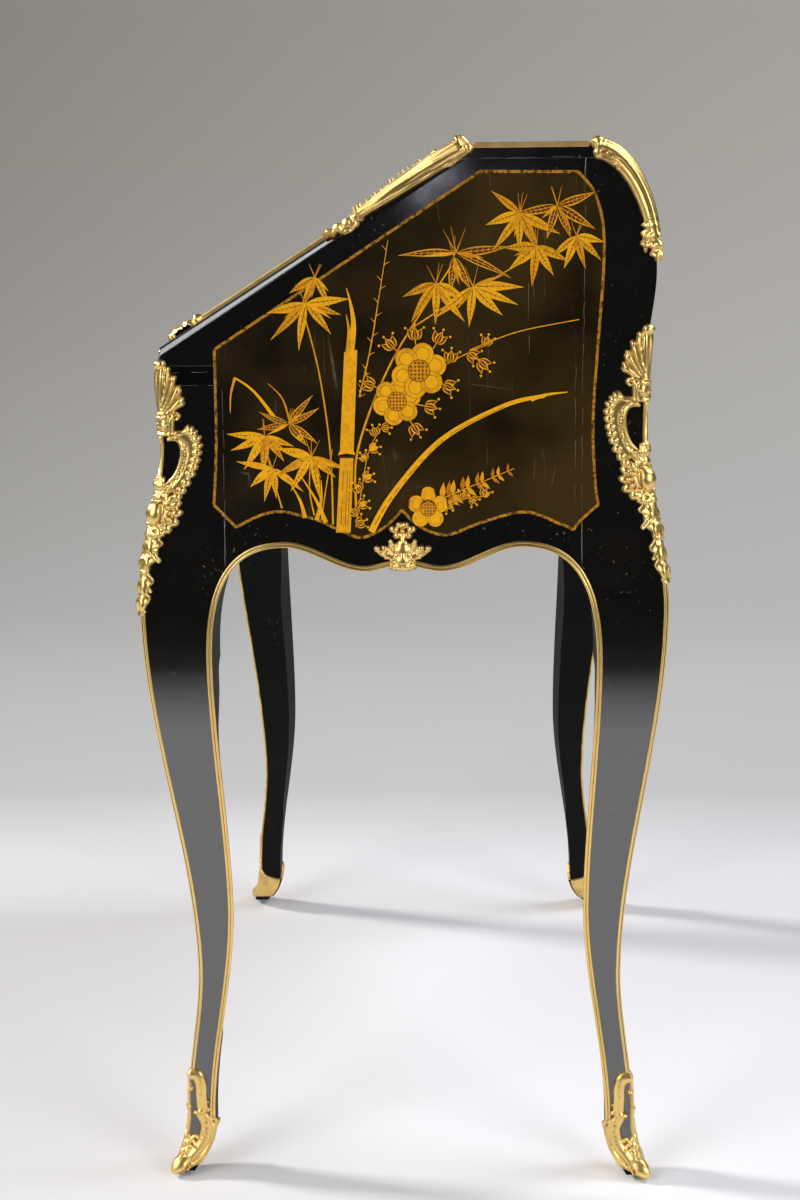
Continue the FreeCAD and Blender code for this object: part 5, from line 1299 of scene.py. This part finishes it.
endEdge, longEdge = archLine(*beadShape["end"]), archLine(*beadShape["long"])
for hand, sideX in hands:
    beadStrip("end_fillet_" + hand, [endEdge, endEdge * (-1, 1)], endLay(sideX), "apron_fillets_ends")
for kind, sign in longFaces:
    lay = faceLay(kind, sign, 0)
    beadStrip(kind + "_fillet", [longEdge, longEdge * (-1, 1)], lay, "apron_fillet_" + kind)
    top = chuteShape[kind + " top"] - beadShape["below chute"]
    heights = np.linspace(beadShape["shin"], top, beadShape["shin steps"])
    shin = np.stack([np.zeros(len(heights)), heights], axis=1)
    for hand, sideX in hands:
        lay = cornerLay(sideX, sign, 0)
        beadStrip("arris_fillet_%s_%s" % (kind, hand), [shin], lay, "leg_corner_fillets")
print("fillets drawn")


# shrinkage cracks where boards meet, filled with pale dust
crackShape = {"wide": (0.5, 1.2), "thick": 0.5, "thin": 0.15, "reach": (8, 34), "drift": (-0.5, 0.5),
              "wander": (-0.35, 0.35), "gap": (1, 14), "least": 4, "seed": 3, "lines": [
    ((-204, 757), (-160, 757)), ((-203, 745.6), (-156, 745.6)), ((-153.8, 742), (-153.8, 600)),
    ((38, 932), (160, 932)), ((153.8, 925), (153.8, 610)), ((148, 760), (148, 640)), ((30, 905), (34, 880)),
    ((108, 830), (108, 770)), ((60, 745), (92, 741))]}


def crackStrokes(rng):
    # each joint opens in short wandering stretches
    shapes, look = [], crackShape
    for (x, y), stop in look["lines"]:
        length = math.hypot(stop[0] - x, stop[1] - y)
        across, up = (stop[0] - x) / length, (stop[1] - y) / length
        at = 0
        while at < length - look["least"]:
            reach = min(rng.uniform(*look["reach"]), length - at)
            drift = rng.uniform(*look["drift"])
            spots = []
            for k in range(5):
                s, off = at + reach * k / 4, drift + rng.uniform(*look["wander"])
                spots.append((x + across * s - up * off, y + up * s + across * off))
            wide = look["thick"] * rng.uniform(*look["wide"])
            shapes.append(stroke(spots, wide, look["thin"], 0, 0, 3))
            at += reach + rng.uniform(*look["gap"])
    return shapes


for hand, sideX in hands:
    rng = random.Random(crackShape["seed"] + sideX)
    paintSheet("end_%s_cracks" % hand, crackStrokes(rng), endLay(sideX), [paleDust], sheetShape["cracks"],
               endField["cuts"])
print("cracks drawn")


# the fall, the back and the front apron carry the same plants, spread along the width

def bambooGroup(rng, x, y, tall):
    grow = tall / 150
    return [
        stroke([(x - 10, y), (x - 14, y + tall * 0.5), (x - 34, y + tall * 0.92)], 1.6, 1.0),
        stroke([(x + 8, y), (x + 14, y + tall * 0.45), (x + 52, y + tall * 0.86)], 1.8, 1.0),
        *leafSpray(rng, (x - 34, y + tall * 0.94), [188, 225, 262, 312, 345], 34 * grow, 9.5),
        *leafSpray(rng, (x + 54, y + tall * 0.88), [190, 232, 275, 315, 350], 36 * grow, 9.5),
        *leafSpray(rng, (x + 76, y + tall * 0.98), [175, 215, 290, 330, 5], 32 * grow, 9, True),
        *leafSpray(rng, (x - 62, y + tall * 0.45), [178, 212, 250, 300, 340], 28 * grow, 8.5),
        *leafSpray(rng, (x - 42, y + tall * 0.55), [20, 60, 330, 190, 150], 24 * grow, 8, True),
        stroke([(x - 28, y), (x - 46, y + tall * 0.25), (x - 62, y + tall * 0.45)], 1.4, 0.9),
        *cane((x, y), (x + 6, y + tall * 0.8), 13 * grow)]


def blossomGroup(rng, x, y, reach):
    grow = reach / 120

    def spread(*spots):
        return [(x + a * grow, y + b * grow) for a, b in spots]

    shapes = floretTwig(rng, spread((-40, 0), (-14, 40), (20, 76), (70, 96)), 11, 10 * grow)
    shapes += thornStem(spread((-36, 0), (-30, 60), (-12, 112)), 12)
    for spot, radius, petals in (((-6, 52), 19, 6), ((18, 74), 22, 6), ((54, 20), 16, 5)):
        shapes += blossom(spread(spot)[0], radius * grow, petals)
    return shapes + fernSprig(spread((56, 18), (86, 30), (112, 44)), 9, 13 * grow)


def grassGroup(x, y, reach):
    shapes = []
    for share, lift in ((1.0, 0.62), (0.72, 0.78), (-0.5, 0.7)):
        wide, tall = reach * share, reach * lift
        line = [(x + wide * a, y + tall * b) for a, b in ((0, 0), (0.25, 0.55), (0.6, 0.9), (1, 1))]
        shapes.append(stroke(line, 5.0, 0.6, 0.1, 0, 8))
    return shapes


def frontPicture(rng, low):
    shapes = []
    for x, turn in ((-150, 1), (150, -1)):
        twig = [(x + a * turn, low + b) for a, b in ((-60, 16), (0, 40), (60, 62), (110, 60))]
        fern = [(x + a * turn, low + b) for a, b in ((20, 24), (60, 30), (96, 22))]
        shapes += [*floretTwig(rng, twig, 11, 9), *blossom((x, low + 44), 15),
                   *leafSpray(rng, (x - 30 * turn, low + 72), [200, 240, 280, 320, 350], 22, 7),
                   *fernSprig(fern, 9, 11)]
    return shapes


def broadPicture(rng, left, right, low, high):
    tall, middle = high - low, (low + high) / 2
    return [
        *bambooGroup(rng, left + 105, low + 10, tall * 0.80),
        *blossomGroup(rng, left + 245, low + 12, tall * 0.62),
        *grassGroup(left + 330, low + 8, 120),
        *bambooGroup(rng, right - 110, low + 8, tall * 0.62),
        *leafSpray(rng, (left + 210, high - 34), [190, 230, 275, 320, 350], 34, 9),
        *leafSpray(rng, (right - 180, high - 46), [185, 222, 262, 305, 345], 34, 9),
        stroke([(left + 232, high - 90), (left + 225, high - 58), (left + 211, high - 36)], 1.4, 0.9),
        stroke([(right - 150, middle), (right - 170, high - 80), (right - 180, high - 48)], 1.4, 0.9)]


def shapedField(left, right, low, high, dip, cut=14):
    # straight sides, cut corners and a lower edge that swings like the apron
    wide = right - left
    swing = [(left + cut, low), (left + wide * 0.2, low + dip), (left + wide * 0.36, low - dip * 0.4),
             (left + wide * 0.5, low + dip)]
    back = [(right + left - x, y) for x, y in swing[::-1]]
    corner = [(right - cut, low), (right, low + cut), (right, high - cut), (right - cut, high),
              (left + cut, high), (left, high - cut), (left, low + cut), (left + cut, low)]
    sides = [list(pair) for pair in zip(corner, corner[1:])]
    return [sides[5], sides[6], swing, back, *sides[:5]]


# left, right, low, high, swing of the lower edge and seed of each field
fieldPlan = {"fall": (-252, 252, 40, 268, 8, 23), "back": (-238, 238, 638, 884, 14, 31),
             "front": (-222, 222, 630, 726, 7, 47)}
bends = [0.62 + 0.008 * k for k in range(33)]
for name, (left, right, low, high, dip, seed) in fieldPlan.items():
    rng = random.Random(seed)
    shapes = frontPicture(rng, low) if name == "front" else broadPicture(rng, left, right, low, high)
    lay, cuts, body = fallLay, (), "fall_front"
    if name != "fall":
        lay, cuts, body = faceLay(name, 1 if name == "back" else -1, 0), bends, "case"
    sections = shapedField(left, right, low, high, dip)
    paintPanel(name + "_field", sections, name + "_picture", shapes, lay, cuts, body)
print("fall, back and front painted")


# gilt tooled border on the writing leather: two lines and a roll of lozenges
toolShape = {"half": 263, "low": 38, "high": 258, "lines": ((6, 0.6), (16, 0.9)), "roll": 11, "pitch": 10.0,
             "lozenge": (3.4, 1.7), "lift": 0.12, "behind": (0, -1, 1.5)}


def leatherLay(u, v, w):
    return fallLay(-u, v, -fallShape["thick"] - w)


def edgeOf(inset):
    return toolShape["half"] - inset, toolShape["low"] + inset, toolShape["high"] - inset


def bar(left, low, right, high):
    return [(left, low), (right, low), (right, high), (left, high)], 0, 0.1


def lozenge(x, y, wide, tall):
    return [(x - wide, y), (x, y - tall), (x + wide, y), (x, y + tall)], 0, 0.3


shapes = []
for inset, half in toolShape["lines"]:
    reach, low, high = edgeOf(inset)
    shapes += [bar(-reach - half, y - half, reach + half, y + half) for y in (low, high)]
    shapes += [bar(x - half, low + half, x + half, high - half) for x in (-reach, reach)]
reach, low, high = edgeOf(toolShape["roll"])
long, short = toolShape["lozenge"]
across = np.linspace(-reach, reach, int(2 * reach / toolShape["pitch"]) + 1)
upright = np.linspace(low, high, int((high - low) / toolShape["pitch"]) + 1)[1:-1]
shapes += [lozenge(x, y, long, short) for x in across for y in (low, high)]
shapes += [lozenge(x, y, short, long) for x in (-reach, reach) for y in upright]
paintSheet("leather_tooling", shapes, leatherLay, [goldLacquer], toolShape["lift"], (), "fall_front",
           toolShape["behind"])
print("leather tooled")
